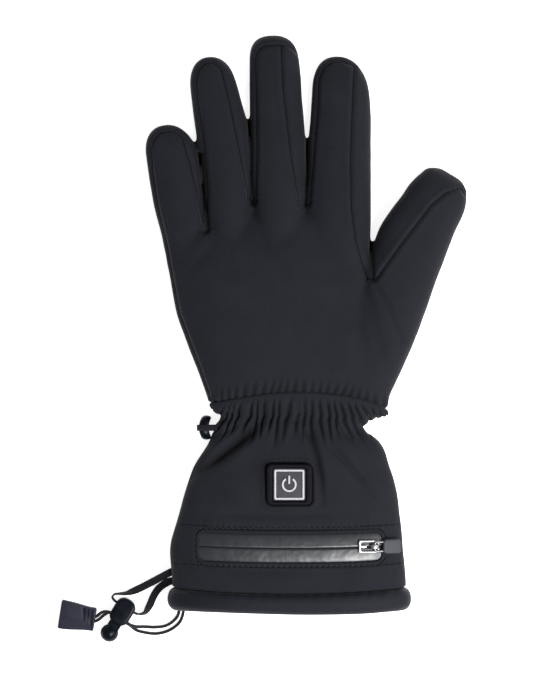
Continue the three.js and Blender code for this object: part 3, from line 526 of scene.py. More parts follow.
def thumb_rings(inset):
    angle = np.linspace(0, 2 * math.pi, FINGER_SIDES, endpoint=False)
    places = np.array(THUMB_ROWS)
    reach = reach_along(places[:, :2])
    tip = np.linspace(reach[-3], reach[-1] - inset, 12)
    stops = np.concatenate([np.linspace(0, reach[-3], 40), tip[1:]])
    x, y, wide, thick = (eased(reach, places[:, i], stops) for i in range(4))
    middle = np.column_stack([x, y])
    course = np.gradient(middle, axis=0)
    course /= np.hypot(*course.T)[:, None]
    rings = []
    for i in range(len(stops)):
        half = max(inset + 1.0, THUMB_WIDTH / 2 * wide[i])
        thickness = max(2 * inset + 2, THUMB_THICKNESS * thick[i])
        off, up = section(half, thickness, angle, 2.4, inset)
        flat = middle[i] + off[:, None] * np.array([course[i, 1], -course[i, 0]])
        rings.append(np.column_stack([flat, up]))
    return rings


def hand_body(name, inset, voxel):
    """Palm, fingers and thumb melted into one closed skin."""
    points = []
    faces = []
    parts = [palm_rings(inset), thumb_rings(inset)]
    parts += [finger_rings(finger, inset) for finger in FINGERS.values()]
    for rings in parts:
        these, quads = tube(rings)
        start = sum(len(p) for p in points)
        faces += [tuple(start + i for i in quad) for quad in quads]
        points.append(these)
    made = mesh_object(name, np.concatenate(points), faces)
    change = made.modifiers.new("melt", "REMESH")
    change.mode = "VOXEL"
    change.voxel_size = voxel * MM
    shown = made.evaluated_get(bpy.context.evaluated_depsgraph_get())
    mesh = bpy.data.meshes.new_from_object(shown)
    points = np.empty(len(mesh.vertices) * 3)
    mesh.vertices.foreach_get("co", points)
    faces = [tuple(face.vertices) for face in mesh.polygons]
    bpy.data.objects.remove(made)
    bpy.data.meshes.remove(mesh)
    return points.reshape(-1, 3) / MM + ORIGIN, faces


def edges_of(faces):
    pairs = np.array([(face[i - 1], face[i]) for face in faces for i in range(len(face))])
    return np.unique(np.sort(pairs, axis=1), axis=0)


def relaxed(points, edges, rounds, strength):
    """Moves each point towards the mean of its neighbours; strength is one number a point."""
    count = np.bincount(edges.ravel(), minlength=len(points))[:, None]
    points = points.copy()
    for _ in range(rounds):
        mean = np.zeros_like(points)
        for axis in range(3):
            mean[:, axis] = np.bincount(edges[:, 0], points[edges[:, 1], axis], len(points))
            mean[:, axis] += np.bincount(edges[:, 1], points[edges[:, 0], axis], len(points))
        points += strength[:, None] * (mean / count - points)
    return points


def normals_of(points, faces):
    quads = np.array([face if len(face) == 4 else (*face, face[-1]) for face in faces])
    across = np.cross(points[quads[:, 2]] - points[quads[:, 0]], points[quads[:, 3]] - points[quads[:, 1]])
    normals = np.zeros_like(points)
    for corner in range(4):
        for axis in range(3):
            normals[:, axis] += np.bincount(quads[:, corner], across[:, axis], len(points))
    return normals / np.maximum(np.linalg.norm(normals, axis=1), 1e-9)[:, None]


def wrist_seam_y(x):
    return eased(column(WRIST_SEAM, 0), column(WRIST_SEAM, 1), np.clip(x, -52, 45))


def without(points, faces, dropped, values):
    """Takes away points and what hangs on them; values are the lists that go with the points."""
    kept = ~dropped
    number = np.cumsum(kept) - 1
    left = [tuple(number[i] for i in face) for face in faces if kept[list(face)].all()]
    return points[kept], left, {key: value[kept] for key, value in values.items()}


def seams_near(flat):
    """How far each place is from its nearest seam, signed by side, and how far along that it is."""
    seam = np.full(len(flat), 99.0)
    run = np.zeros(len(flat))
    for line in SEAMS.values():
        off, along, side = line_distance(flat, line)
        nearer = off < np.abs(seam)
        seam = np.where(nearer, off * side, seam)
        run = np.where(nearer, along, run)
    return seam, run


def seam_lift(seam, run):
    """The ridges beside a seam, the furrow on it and the thread's small puckers."""
    off = np.abs(seam)
    lift = 0.34 * np.exp(-(((off - 2.2) / 1.5) ** 2)) - 0.75 * np.exp(-((off / 0.85) ** 2))
    return lift + 0.10 * np.sin(run * 2.1) * np.exp(-(((off - 1.2) / 1.1) ** 2))


def crease_relief(flat, normals):
    """How deep the creases between the fingers go, and the star of folds at each one's root."""
    sunk = np.zeros(len(flat))
    star = np.zeros(len(flat))
    for line in CREASES:
        off, along, _ = line_distance(flat, line)
        cleft = np.exp(-((off / 0.95) ** 2)) * smooth(0.15, 0.6, normals[:, 2])
        sunk += 2.6 * cleft + 9.0 * cleft * smooth(30, 4, along)
        away = flat - np.array(line[-1])
        reach = np.hypot(*away.T)
        spokes = np.cos(7 * np.arctan2(away[:, 1], away[:, 0]))
        star += (0.55 * spokes - 0.5) * np.exp(-((reach / 3.4) ** 2)) * smooth(0.3, 1.6, reach)
    return sunk, star


def add_hand(look):
    points, faces = hand_body("hand_shell", 0.0, SKIN_VOXEL)
    edges = edges_of(faces)
    flat = points[:, :2]
    crease = np.min([line_distance(flat, line)[0] for line in CREASES], axis=0)
    open_palm = smooth(4, 12, crease)
    points = relaxed(points, edges, 6, 0.5 * np.ones(len(points)))
    points = relaxed(points, edges, 30, 0.5 * open_palm * smooth(70, 40, points[:, 1]))
    normals = normals_of(points, faces)
    upward = smooth(0.05, 0.5, normals[:, 2])
    flat = points[:, :2]
    seam, run = seams_near(flat)
    sunk, star = crease_relief(flat, normals)
    lift = seam_lift(seam, run) + star
    for x0, y0, x1, y1, deep, broad in PALM_FURROWS:
        off = line_distance(flat, [(x0, y0), (x1, y1)])[0] / broad
        lift -= deep * (1 - 0.6 * off * off) * np.exp(-off * off)
    lift *= upward
    lift += 0.30 * grain(points, 26.0) + 0.14 * grain(points, 9.0, 5.0)
    above = points[:, 1] - wrist_seam_y(points[:, 0])
    wave = np.sin(points[:, 0] * 2 * math.pi / PLEAT_PITCH + 3 * grain(points, 14.0, 9.0))
    gather = wave * smooth(9, 1, above)
    lift += 0.6 * gather * upward
    lift -= 1.5 * smooth(2.2, -0.4, above)
    points = points + normals * lift[:, None]
    floor_side = points[:, 2] < CREASE_FLOOR
    points[:, 2] = np.where(floor_side, points[:, 2], np.maximum(points[:, 2] - sunk, CREASE_FLOOR))
    points[:, 2] = np.maximum(points[:, 2], CLEAR)
    # Painted shade: the wrist gathers' valleys and the creases between the fingers are marked here for the
    # fabric to darken its colour.
    valley_shade = np.clip(-np.minimum(gather, 0) * smooth(9, 1, above), 0, 1)
    values = {"seam": seam, "run": run, "valley_shade": np.maximum(0.7 * valley_shade, smooth(0.2, 2.0, sunk))}
    hidden = above < -3.5
    points, faces, values = without(points, faces, hidden, values)
    return dress(mesh_object("hand_shell", points, faces, values), look, ["hand"])


def add_hand_lining(look):
    points, faces = hand_body("hand_lining", CLOTH, LINING_VOXEL)
    edges = edges_of(faces)
    points = relaxed(points, edges, 6, 0.5 * np.ones(len(points)))
    points[:, 2] = np.maximum(points[:, 2], CLEAR + CLOTH)
    hidden = points[:, 1] < WRIST_Y - 6.5
    points, faces, _ = without(points, faces, hidden, {})
    return dress(mesh_object("hand_lining", points, [face[::-1] for face in faces]), look)


# The cuff


def cuff_section(along, angle, inset=0.0):
    """Across, up, middle x and half width of the plain cuff at one share of its length."""
    place = min(max(along, 0.0), 1.0)
    width = WRIST_WIDTH + place * (CUFF_WIDTH - WRIST_WIDTH)
    thickness = WRIST_THICKNESS + place * (CUFF_THICKNESS - WRIST_THICKNESS)
    left, right, thick = (eased(column(CUFF_ROWS, 0), column(CUFF_ROWS, i), place) for i in (1, 2, 3))
    half = (right - left) * width / 2
    across, up = section(half, thickness * thick, angle, inset=inset)
    return across, up, MIDDLE_X + (left + right) * width / 2, half


def cuff_angles(above, below):
    """Angles round the cuff, closer together on its back."""
    back = np.linspace(0, math.pi, above, endpoint=False)
    palm = np.linspace(math.pi, 2 * math.pi, below, endpoint=False)
    return np.concatenate([back, palm])


def cuff_rings(stops, angle, inset=0.0):
    """Points of the plain cuff, one row a stop."""
    rings = []
    for along in stops:
        across, up, middle, half = cuff_section(along, angle, inset)
        x = middle + across
        share = across / half
        y = WRIST_Y - along * CUFF_LENGTH - HEM_BOW * np.clip(along, 0, 1) * (1 - share**2)
        y += (wrist_seam_y(x) - WRIST_Y) * smooth(0.16, 0.0, along)
        rings.append(np.column_stack([x, y, up]))
    return np.array(rings)


def fold_lift(flat):
    """How far the folds move the cuff's back."""
    lift = np.zeros(len(flat))
    for line, deep, broad in CUFF_FOLDS:
        off, run, _ = line_distance(flat, line)
        off = off / broad
        whole = math.dist(line[0], line[-1])
        fading = 0.25 + 0.75 * smooth(0.0, 0.25, run / whole) * smooth(1.0, 0.6, run / whole)
        lift -= deep * fading * (1 - 0.9 * off * off) * np.exp(-off * off)
    return lift


def pleat_lift(points, along):
    """The gathers: domes with sharp valleys between them, slanting away from the pinched line. Gives
    their lift and how deep in one of the valleys each point is, which the fabric darkens as painted
    shade."""
    x = points[:, 0]
    level = np.zeros(len(x))
    off = (along - PINCH) * CUFF_LENGTH
    slant = 0.35 * grain(np.column_stack([x, level, level + np.sign(off) * 30]), 9.0, 3.0)
    slant = slant + 0.012 * (x - BADGE_X)
    wander = 2.4 * grain(np.column_stack([x, level, level]), 8.0, 5.0)
    phase = (x + wander - slant * off) / PLEAT_PITCH + 0.22 * smooth(-1.5, 1.5, off)
    cell = np.floor(phase)
    v = np.abs(phase - cell - 0.5) * 2
    valley_shade = np.exp(-(((1 - v) / 0.26) ** 2))
    long = 0.5 + 0.5 * grain(np.column_stack([np.round(phase), level, level]), 1.7, 2.0)
    below = smooth(PINCH + 0.05 + 0.16 * long, PINCH + 0.02, along)
    above = smooth(PINCH - 0.09, PINCH - 0.03, along)
    strength = below * above
    pinch = np.exp(-((off / 2.6) ** 2))
    lift = PLEAT_DEPTH * strength * (0.45 * (1 - v * v) - valley_shade) - 0.9 * pinch
    return lift, valley_shade * strength


def back_height(x, y):
    """Height of the cuff's back over a place in the level plane, folds among it."""
    angle = np.linspace(0, math.pi, 181)
    stops = np.linspace(0.3, 1.0, 71)
    table = []
    for along in stops:
        across, up, middle, _ = cuff_section(along, angle)
        table.append(np.interp(np.linspace(-70, 60, 131), (middle + across)[::-1], up[::-1]))
    table = np.array(table)
    along = (WRIST_Y - HEM_BOW * 0.6 - y) / CUFF_LENGTH
    row = np.clip((along - 0.3) / 0.7 * 70, 0, 69.999)
    place = np.clip(x + 70, 0, 129.999)
    r, c = row.astype(int), place.astype(int)
    fr, fc = row - r, place - c
    heights = (table[r, c] * (1 - fr) + table[r + 1, c] * fr) * (1 - fc)
    heights += (table[r, c + 1] * (1 - fr) + table[r + 1, c + 1] * fr) * fc
    return heights + fold_lift(np.column_stack([x, y]))


def zip_bow(x):
    """The zip's line sags a little towards the hem in its middle."""
    return -0.9 * (1 - ((x - ZIP_X) / (ZIP_LENGTH / 2)) ** 2)


def pocket_relief(flat):
    """Welts, rims and tucks round the zip, the switch and the sewing, and the nearest seam's distance."""
    x, y = flat.T
    bow = zip_bow(x)
    window = box_distance(x - ZIP_X, y - ZIP_Y - bow, ZIP_LENGTH / 2, ZIP_HEIGHT / 2, ZIP_CORNER)
    badge = box_distance(x - BADGE_X, y - BADGE_Y, BADGE_WIDTH / 2, BADGE_HEIGHT / 2, BADGE_CORNER)
    sewing = np.min([np.abs(y - row - bow) for row in STITCH_ROWS], axis=0)
    welt = 0.55 * np.exp(-(((window - 1.1) / 0.8) ** 2))
    welt -= 0.45 * np.exp(-(((window - WELT_LINE) / 0.45) ** 2))
    welt -= 2.6 * smooth(0.35, -0.35, window)
    rim = 0.5 * np.exp(-(((badge - 1.2) / 0.9) ** 2)) - 2.6 * smooth(0.35, -0.35, badge)
    tuck = -0.30 * np.exp(-((sewing / 0.7) ** 2)) * smooth(50, 44, np.abs(x - ZIP_X))
    pucker = 0.10 * np.sin(x * 1.9) * np.exp(-((sewing / 2.6) ** 2))
    return welt + rim + tuck + pucker, np.minimum(np.abs(window - WELT_LINE), sewing)


def add_cuff(look):
    angle = cuff_angles(250, 70)
    stops = np.concatenate([np.linspace(-0.012, 0.24, 62), np.linspace(0.24, 1.0, 148)[1:]])
    rings = cuff_rings(stops, angle)
    rows, columns = rings.shape[:2]
    points = rings.reshape(-1, 3)
    along = np.repeat(stops, columns)
    faces = grid_faces(rows, columns, flip=True)
    normals = normals_of(points, faces)
    if normals[np.argmax(points[:, 2]), 2] < 0:
        faces = grid_faces(rows, columns)
        normals = -normals
    upward = smooth(0.05, 0.45, normals[:, 2])
    flat = points[:, :2]

    folds = fold_lift(flat) * upward
    pleats, valley_shade = pleat_lift(points, along)
    lift = folds + pleats * (0.35 + 0.65 * upward)
    # Painted shade: the gathers' valleys and the folds' depths are marked here for the fabric to darken its
    # colour.
    valley_shade = np.maximum(valley_shade, smooth(0.6, 4.0, -folds))
    lift += 0.35 * grain(points, 24.0, 2.0) + 0.12 * grain(points, 8.0, 7.0)
    lift -= 1.9 * smooth(0.012, -0.010, along)
    lift -= TOP_TUCK * smooth(0.08, 0.0, along) * (1 - upward)
    lift -= 1.6 * smooth(0.988, 1.0, along)

    relief, seam = pocket_relief(flat)
    lift += relief * upward
    points = points + normals * lift[:, None]
    points[:, 2] = np.maximum(points[:, 2], CLEAR)
    values = {"seam": seam, "run": points[:, 0], "valley_shade": valley_shade}
    return dress(mesh_object("cuff_shell", points, faces, values), look, ["gauntlet"])


def add_lining(look):
    angle = cuff_angles(90, 40)
    stops = np.linspace(-0.05, 1.0 + (HEM_DEPTH - 1.5) / CUFF_LENGTH, 60)
    rings = cuff_rings(stops, angle, CLOTH)
    rows, columns = rings.shape[:2]
    points = rings.reshape(-1, 3)
    points[:, 2] += fold_lift(points[:, :2]) * smooth(6, 14, points[:, 2])
    points[:, 2] += 0.35 * grain(points, 9.0, 4.0) - ZIP_SINK * smooth(12, 18, points[:, 2]) * 0.8
    points[:, 2] = np.maximum(points[:, 2], CLEAR + CLOTH)
    faces = grid_faces(rows, columns)
    return dress(mesh_object("cuff_lining", points, faces), look)


def add_hem(look):
    """A rolled band round the mouth: out, round its lower edge and in again."""
    angle = cuff_angles(230, 80)
    profile = [
        (-0.06, -1.3), (-0.01, -0.7), (0.04, 0.4), (0.10, 1.25), (0.18, 1.8), (0.30, 2.25), (0.44, 2.5),
        (0.58, 2.5), (0.70, 2.25), (0.80, 1.8), (0.88, 1.15), (0.95, 0.35), (0.99, -0.5), (1.0, -1.3),
        (0.97, -2.2), (0.90, -2.8), (0.75, -3.0), (0.4, -3.0), (0.0, -3.0),
    ]
    fine = np.linspace(0, 1, 44)
    course = np.linspace(0, 1, len(profile))
    depth = eased(course, column(profile, 0), fine)
    out = eased(course, column(profile, 1), fine)
    _, up, middle, half = cuff_section(1.0, angle)
    thickness = up.max()
    rings = []
    for d, o in zip(depth, out):
        grow = o * HEM_BULGE / 2.5
        ring_x, ring_z = section(half + grow, thickness + grow, angle)
        share = ring_x / (half + grow)
        y = WRIST_Y - CUFF_LENGTH - HEM_BOW * (1 - share**2) * (1 - 0.5 * d) - d * HEM_DEPTH
        y -= 0.45 * np.sin(ring_x * 0.05 + 0.2) * min(1.0, d)
        rings.append(np.column_stack([middle + ring_x, y, ring_z]))
    rings = np.array(rings)
    rows, columns = rings.shape[:2]
    points = rings.reshape(-1, 3)
    faces = grid_faces(rows, columns)
    normals = normals_of(points, faces)
    outside = np.repeat((out > -1.2) & (depth > 0.02), columns)
    if (normals[outside][:, 2] * (points[outside][:, 2] > 12)).sum() < 0:
        faces = grid_faces(rows, columns, flip=True)
        normals = -normals
    near_seam = np.repeat(smooth(0.5, 0.0, depth), columns)
    crimp = np.sin(points[:, 0] * 0.9 + 1.5 * grain(points, 12.0, 8.0))
    lift = 0.16 * crimp * near_seam + 0.22 * grain(points, 16.0, 6.0)
    points = points + normals * lift[:, None]
    points[:, 2] = np.maximum(points[:, 2], HEM_CLEAR)
    values = {"seam": np.repeat(depth * HEM_DEPTH, columns), "run": points[:, 0]}
    return dress(mesh_object("hem_band", points, faces, values), look, ["hem_roll"])


# The zip and the switch


def add_tapes(look):
    """The two coated halves of the tape, which meet in a fine line and bulge over the teeth."""
    columns = 200
    for name, side in (("tape_upper", 1), ("tape_lower", -1)):
        rows = 20
        reach = ZIP_LENGTH / 2 + TAPE_TUCKED
        x = np.linspace(-reach, reach, columns)
        v = np.linspace(0, 1, rows)
        grid_x, grid_v = np.meshgrid(x, v)
        px = (ZIP_X + grid_x).ravel()
        pv = grid_v.ravel()
        py = ZIP_Y + zip_bow(px) + side * pv * (ZIP_HEIGHT / 2 + TAPE_TUCKED)
        z = back_height(px, py) - ZIP_SINK + 0.15
        bulge = 1.3 * np.sqrt(np.clip(1 - (pv / 0.98) ** 2.0, 0, 1)) - 0.45 * np.exp(-((pv / 0.05) ** 2))
        waves = 0.10 * grain(np.column_stack([px, py * 0.4, np.zeros(len(px))]), 7.0, 2.0)
        waves += 0.05 * grain(np.column_stack([px, py, np.zeros(len(px))]), 2.6, 6.0)
        z += bulge + waves * smooth(0, 0.2, pv)
        upper = np.column_stack([px, py, z])
        lower = upper - np.array([0, 0, TAPE_THICKNESS])
        points = np.concatenate([upper, lower])
        faces = grid_faces(rows, columns, closed=False, flip=side < 0)
        faces += grid_faces(rows, columns, closed=False, start=len(upper), flip=side > 0)
        rim = list(range(columns)) + [columns * (r + 1) - 1 for r in range(1, rows)]
        rim += list(range(columns * rows - 2, columns * (rows - 1) - 1, -1))
        rim += [columns * r for r in range(rows - 2, 0, -1)]
        for a, b in zip(rim, rim[1:] + rim[:1]):
            quad = (a, a + len(upper), b + len(upper), b)
            faces.append(quad if side > 0 else quad[::-1])
        made = mesh_object(name, points, faces)
        dress(made, look, ["zip_tape_upper" if side > 0 else "zip_tape_lower"])


def outline(width, height, corner, steps=8):
    """Points round a rounded rectangle, anticlockwise."""
    points = []
    for turn, (sx, sy) in enumerate([(1, -1), (1, 1), (-1, 1), (-1, -1)]):
        for step in range(steps + 1):
            angle = math.radians(-90 + 90 * turn + 90 * step / steps)
            points.append((
                sx * (width / 2 - corner) + corner * math.cos(angle),
                sy * (height / 2 - corner) + corner * math.sin(angle),
            ))
    return np.array(points)


def inward(shape, distance):
    """The outline drawn in towards its inside."""
    before = shape - np.roll(shape, 1, axis=0)
    after = np.roll(shape, -1, axis=0) - shape
    course = before / np.hypot(*before.T)[:, None] + after / np.hypot(*after.T)[:, None]
    course /= np.hypot(*course.T)[:, None]
    return shape + distance * np.column_stack([-course[:, 1], course[:, 0]])


def moulded(shape, height, bevel, hole=None, steps=5):
    """Points and faces of an upright plate with rounded edges above, and a hole if one is given."""
    rings = [np.column_stack([shape, np.zeros(len(shape))])]
    for step in range(steps + 1):
        turn = math.pi / 2 * step / steps
        ring = inward(shape, bevel * (1 - math.cos(turn)))
        rings.append(np.column_stack([ring, np.full(len(ring), height - bevel + bevel * math.sin(turn))]))
    count = len(shape)
    if hole is None:
        points = np.concatenate(rings)
        faces = grid_faces(len(rings), count) + fans(len(rings), count)
        return points, faces
    for step in range(steps, -1, -1):
        turn = math.pi / 2 * step / steps
        ring = inward(hole, -bevel * (1 - math.cos(turn)))
        rings.append(np.column_stack([ring, np.full(len(ring), height - bevel + bevel * math.sin(turn))]))
    rings.append(np.column_stack([hole, np.zeros(len(hole))]))
    rings.append(rings[0])
    return np.concatenate(rings), grid_faces(len(rings), count)


def placed(points, turn=0.0, at=(0, 0, 0), tilt=0.0):
    """Tilts points about Y, turns them about Z and moves them, angles in degrees."""
    matrix = Matrix.Rotation(math.radians(turn), 3, "Z") @ Matrix.Rotation(math.radians(tilt), 3, "Y")
    return np.asarray(points) @ np.array(matrix).T + np.array(at)


def add_badge(rubber, face_look, print_look):
    low, high = node_box("badge_surround")
    at = [(low[0] + high[0]) / 2, (low[1] + high[1]) / 2, low[2]]
    points, faces = moulded(outline(24, 21.6, 3), 3.2, 0.9, outline(17.4, 17.4, 1.0))
    dress(mesh_object("badge_rim", placed(points, at=at), faces), rubber, ["badge_surround"])
    points, faces = moulded(outline(17.0, 17.0, 0.9), 1.9, 0.3)
    dress(mesh_object("badge_face", placed(points, at=at), faces), face_look, ["badge_plate"])
    at[2] = node_box("badge_frame")[0][2] - 0.3
    points, faces = moulded(outline(15.8, 15.8, 0.9), 0.55, 0.15, outline(13.8, 13.8, 0.5), 2)
    made = mesh_object("badge_square", placed(points, at=at), faces)
    dress(made, print_look, ["badge_frame"])
    for name in ("badge_mark_ring", "badge_mark_bar"):
        nodes[name].data.materials.clear()
        nodes[name].data.materials.append(print_look)


def closed_tube(path, radius_a, radius_b, wide, count=12):
    """A tube round a closed path; wide gives each point's direction for radius_a."""
    path = np.asarray(path)
    course = np.roll(path, -1, axis=0) - np.roll(path, 1, axis=0)
    course /= np.linalg.norm(course, axis=1)[:, None]
    wide = wide - (wide * course).sum(1)[:, None] * course
    wide /= np.linalg.norm(wide, axis=1)[:, None]
    thin = np.cross(course, wide)
    angle = np.linspace(0, 2 * math.pi, count, endpoint=False)
    rings = path[:, None] + radius_a * np.cos(angle)[None, :, None] * wide[:, None]
    rings = rings + radius_b * np.sin(angle)[None, :, None] * thin[:, None]
    faces = grid_faces(len(path), count)
    last = (len(path) - 1) * count
    faces += [(last + c, last + (c + 1) % count, (c + 1) % count, c) for c in range(count)]
    return rings.reshape(-1, 3), faces


def add_slider(metal, tab_look):
    """The slider with its bridge, the wire through it and the tab on the wire."""
    base, faces = moulded(outline(11.2, 6.8, 0.9), 1.7, 0.35, outline(8.6, 4.6, 0.9))
    top, top_faces = moulded(outline(3.4, 1.5, 0.5), 1.5, 0.3)
    top[:, 0] -= 3.0
    arch = []
    for turn in np.linspace(0, math.pi, 15):
        arch.append((SLIDER_BRIDGE - 2.1 * math.cos(turn), 0, 1.3 + 2.25 * math.sin(turn) ** 0.7))
    course = np.gradient(np.array(arch), axis=0)
    course /= np.linalg.norm(course, axis=1)[:, None]
    side = np.array([0, 1.0, 0])
    up = np.cross(course, side)
    corners = ((1, -1), (1, 1), (-1, 1), (-1, -1))
    strip = [np.array(arch) + a * 1.1 * side + b * 0.34 * up for a, b in corners]
    bridge, bridge_faces = tube(np.stack(strip, axis=1))
    points = np.concatenate([base, top, bridge])
    faces += [tuple(len(base) + i for i in face) for face in top_faces]
    faces += [tuple(len(base) + len(top) + i for i in face) for face in bridge_faces]
    made = mesh_object("slider_body", placed(points, at=SLIDER_AT, tilt=SLIDER_TILT), faces)
    soften(made, 0.12)
    dress(made, metal, ["zip_slider"])

    wire = outline(5.6, 4.8, 1.0, 5) + np.array([2.8, 0])
    wire = np.column_stack([wire, np.zeros(len(wire))])
    points, faces = closed_tube(wire, 0.6, 0.6, np.tile([0, 0, 1.0], (len(wire), 1)))
    points = placed(points, at=PULLER_AT, tilt=PULLER_TILT)
    made = mesh_object("puller_wire", points, faces)
    dress(made, metal, ["zip_puller"], "puller")

    points, faces = moulded(outline(10, 7.6, 1.7, 6), 1.4, 0.8)
    both = np.concatenate([points, points * np.array([1, 1, -1])])
    upper = faces[:-2] + faces[-1:]
    faces = upper + [tuple(len(points) + i for i in face[::-1]) for face in upper]
    dish = smooth(0.4, -0.8, box_distance(both[:, 0] - 0.3, both[:, 1], 3.6, 2.6, 1.0))
    both[:, 2] -= 0.35 * dish * np.sign(both[:, 2])
    both[:, 0] += 9.4
    made = mesh_object("puller_tab", placed(both, at=PULLER_AT, tilt=PULLER_TILT), faces)
    dress(made, tab_look, ["pull_tab"], "puller")


# The cord lock and the pull end


def soften(made, width):
    """Rounds a hard piece's edges a little."""
    change = made.modifiers.new("edges", "BEVEL")
    change.width = width * MM
    change.segments = 2
    change.limit_method = "ANGLE"
    change.angle_limit = math.radians(SHARP_ANGLE)
    keep_result(made)


def keep_result(made):
    """Applies all of a piece's modifiers."""
    shown = made.evaluated_get(bpy.context.evaluated_depsgraph_get())
    mesh = bpy.data.meshes.new_from_object(shown)
    made.modifiers.clear()
    old = made.data
    made.data = mesh
    bpy.data.meshes.remove(old)
    mesh.name = made.name


def block(size, at):
    """A box's points and faces."""
    corners = np.array([(x, y, z) for x in (-1, 1) for y in (-1, 1) for z in (-1, 1)], float)
    faces = [(0, 1, 3, 2), (4, 6, 7, 5), (0, 4, 5, 1), (2, 3, 7, 6), (0, 2, 6, 4), (1, 5, 7, 3)]
    return corners * np.array(size) / 2 + np.array(at), faces


def joined_or_cut(made, size, middle, operation, **place):
    """Joins a block to a piece or cuts it out, both turned and placed alike."""
    points, faces = block(size, middle)
    tool = mesh_object("tool", placed(points, **place), faces)
    change = made.modifiers.new("form", "BOOLEAN")
    change.operation = operation
    change.solver = "EXACT"
    change.object = tool
    keep_result(made)
    bpy.data.objects.remove(tool)


def smooth_but_sharp(made):
    """Shades a piece smooth, with its steep edges left sharp."""
    made.data.shade_smooth()
    made.data.set_sharp_from_angle(angle=math.radians(SHARP_ANGLE))


def lathe(profile, count=40):
    """A body turned round the X axis from x and radius pairs."""
    angle = np.linspace(0, 2 * math.pi, count, endpoint=False)
    rings = [np.column_stack([np.full(count, x), r * np.cos(angle), r * np.sin(angle)]) for x, r in profile]
    return tube(rings)


def add_lock(plastic):
    """The cord lock's body and its spring button, in the lock's own frame and then put in place."""
    place = dict(turn=LOCK_TURN, at=LOCK_AT)
    rings = []
    shape = outline(LOCK_LENGTH, LOCK_WIDTH, 4.8, 8)
    for step in range(7):
        turn = math.pi / 2 * step / 6
        ring = inward(shape, LOCK_BEVEL * (1 - math.sin(turn)))
        rings.append(np.column_stack([ring, np.full(len(ring), LOCK_BEVEL * (1 - math.cos(turn)))]))
    for step in range(7):
        turn = math.pi / 2 * step / 6
        ring = inward(shape, LOCK_BEVEL * (1 - math.cos(turn)))
        height = LOCK_HEIGHT - LOCK_BEVEL * (1 - math.sin(turn))
        rings.append(np.column_stack([ring, np.full(len(ring), height)]))
    points, faces = tube(rings)
    made = mesh_object("lock_body", placed(points, **place), faces)
    for size, along in (((15, 7.4, 6.4), 6.5), ((2.3, 22, 4.3), 4), ((1.6, 22, 4.6), -2.8)):
        joined_or_cut(made, size, (along, 0, LOCK_MIDDLE), "DIFFERENCE", **place)
    smooth_but_sharp(made)
    dress(made, plastic, ["cord_lock"])

    profile = [(10.3, 0.02), (10.3, 3.2)]
    for a in np.linspace(2.22, 0.02, 26):
        profile.append((BALL_MIDDLE + BALL_RADIUS * math.cos(a), BALL_RADIUS * math.sin(a)))
    points, faces = lathe(profile)
    made = mesh_object("button_ball", placed(points + np.array([0, 0, BALL_RADIUS]), **place), faces)
    joined_or_cut(made, (11.4, 6.8, 5.8), (7.5, 0, LOCK_MIDDLE), "UNION", **place)
    joined_or_cut(made, (4.8, 14, 4.3), (5.25, 0, LOCK_MIDDLE), "DIFFERENCE", **place)
    smooth_but_sharp(made)
    dress(made, plastic, ["lock_button"], "button")


def add_pull_end(look):
    """The wedge at the drawcord's end, with a stepped waist and cross ribs where the cords go in."""
    widths = ((-9.5, 7.8), (-3.0, 7.4), (5.2, 6.3), (9.5, 6.2))
    shape = np.array([(x, -h) for x, h in widths] + [(x, h) for x, h in widths[::-1]])
    dense = []
    for a, b in zip(shape, np.roll(shape, -1, axis=0)):
        dense += [a + (b - a) * t for t in np.linspace(0.06, 0.94, 9)]
    points, faces = moulded(np.array(dense), 4.6, 0.7)
    high = points[:, 2] > 2
    points[:, 2] -= 1.1 * smooth(-1.0, -7.0, points[:, 1]) * high
    points[:, 2] -= 0.5 * smooth(-5, -9.5, points[:, 0]) * high
    place = dict(turn=PULL_TURN, at=PULL_AT)
    made = mesh_object("pull_end", placed(points, **place), faces)
    for rib in range(3):
        at = (7.6 - 2.3 * rib, 0, 4.6)
        joined_or_cut(made, (0.9, 10.6, 1.0), at, "DIFFERENCE", **place)
    return dress(made, look, ["cord_pull"])


# The cords, the clip and the stitches


def smooth_path(route, spacing):
    """Evenly spaced points on a curve without corners through the route, and any fourth column."""
    route = np.array([row[:3] for row in route], float)
    reach = reach_along(route)
    stops = np.linspace(0, reach[-1], int(reach[-1] / spacing) + 1)
    return np.column_stack([eased(reach, route[:, i], stops) for i in range(3)]), reach, stops


def course_of(path):
    course = np.gradient(path, axis=0)
    return course / np.linalg.norm(course, axis=1)[:, None]


def across_path(path):
    """A path's course, and its level and upright directions across that."""
    course = course_of(path)
    level = np.column_stack([-course[:, 1], course[:, 0], np.zeros(len(path))])
    level /= np.linalg.norm(level, axis=1)[:, None]
    return course, level, np.cross(course, level)


def add_strand(name, route, node, look):
    path, _, stops = smooth_path(route, 0.5)
    path = path + np.array(ROUTE_SHIFT)
    _, level, upright = across_path(path)
    angle = np.linspace(0, 2 * math.pi, DRAWCORD_SIDES, endpoint=False)
    radius = DRAWCORD / 2
    rings = path[:, None] + radius * np.cos(angle)[None, :, None] * level[:, None]
    rings = rings + radius * np.sin(angle)[None, :, None] * upright[:, None]
    points, faces = tube(rings)
    values = {"run": np.repeat(stops, DRAWCORD_SIDES), "turn": np.tile(angle, len(path))}
    made = dress(mesh_object(name, points, faces, values), look, [node])
    return made


def tape_points(path, edge, width, thickness):
    """A flat tape along a path: its four corners bevelled, edge is 1 where it stands upright."""
    course, level, upright = across_path(path)
    turn = (edge * math.pi / 2)[:, None]
    wide = level * np.cos(turn) + upright * np.sin(turn)
    thin = np.cross(course, wide)
    rim = [(-0.5, -0.15), (-0.46, -0.5), (-0.22, -0.5), (0.0, -0.46)]
    rim += [(0.22, -0.5), (0.46, -0.5), (0.5, -0.15)]
    rim += [(a * -1, b * -1) for a, b in rim]
    rings = [path + a * width * wide + b * thickness * thin for a, b in rim]
    return tube(np.stack(rings, axis=1)), column(rim, 0)


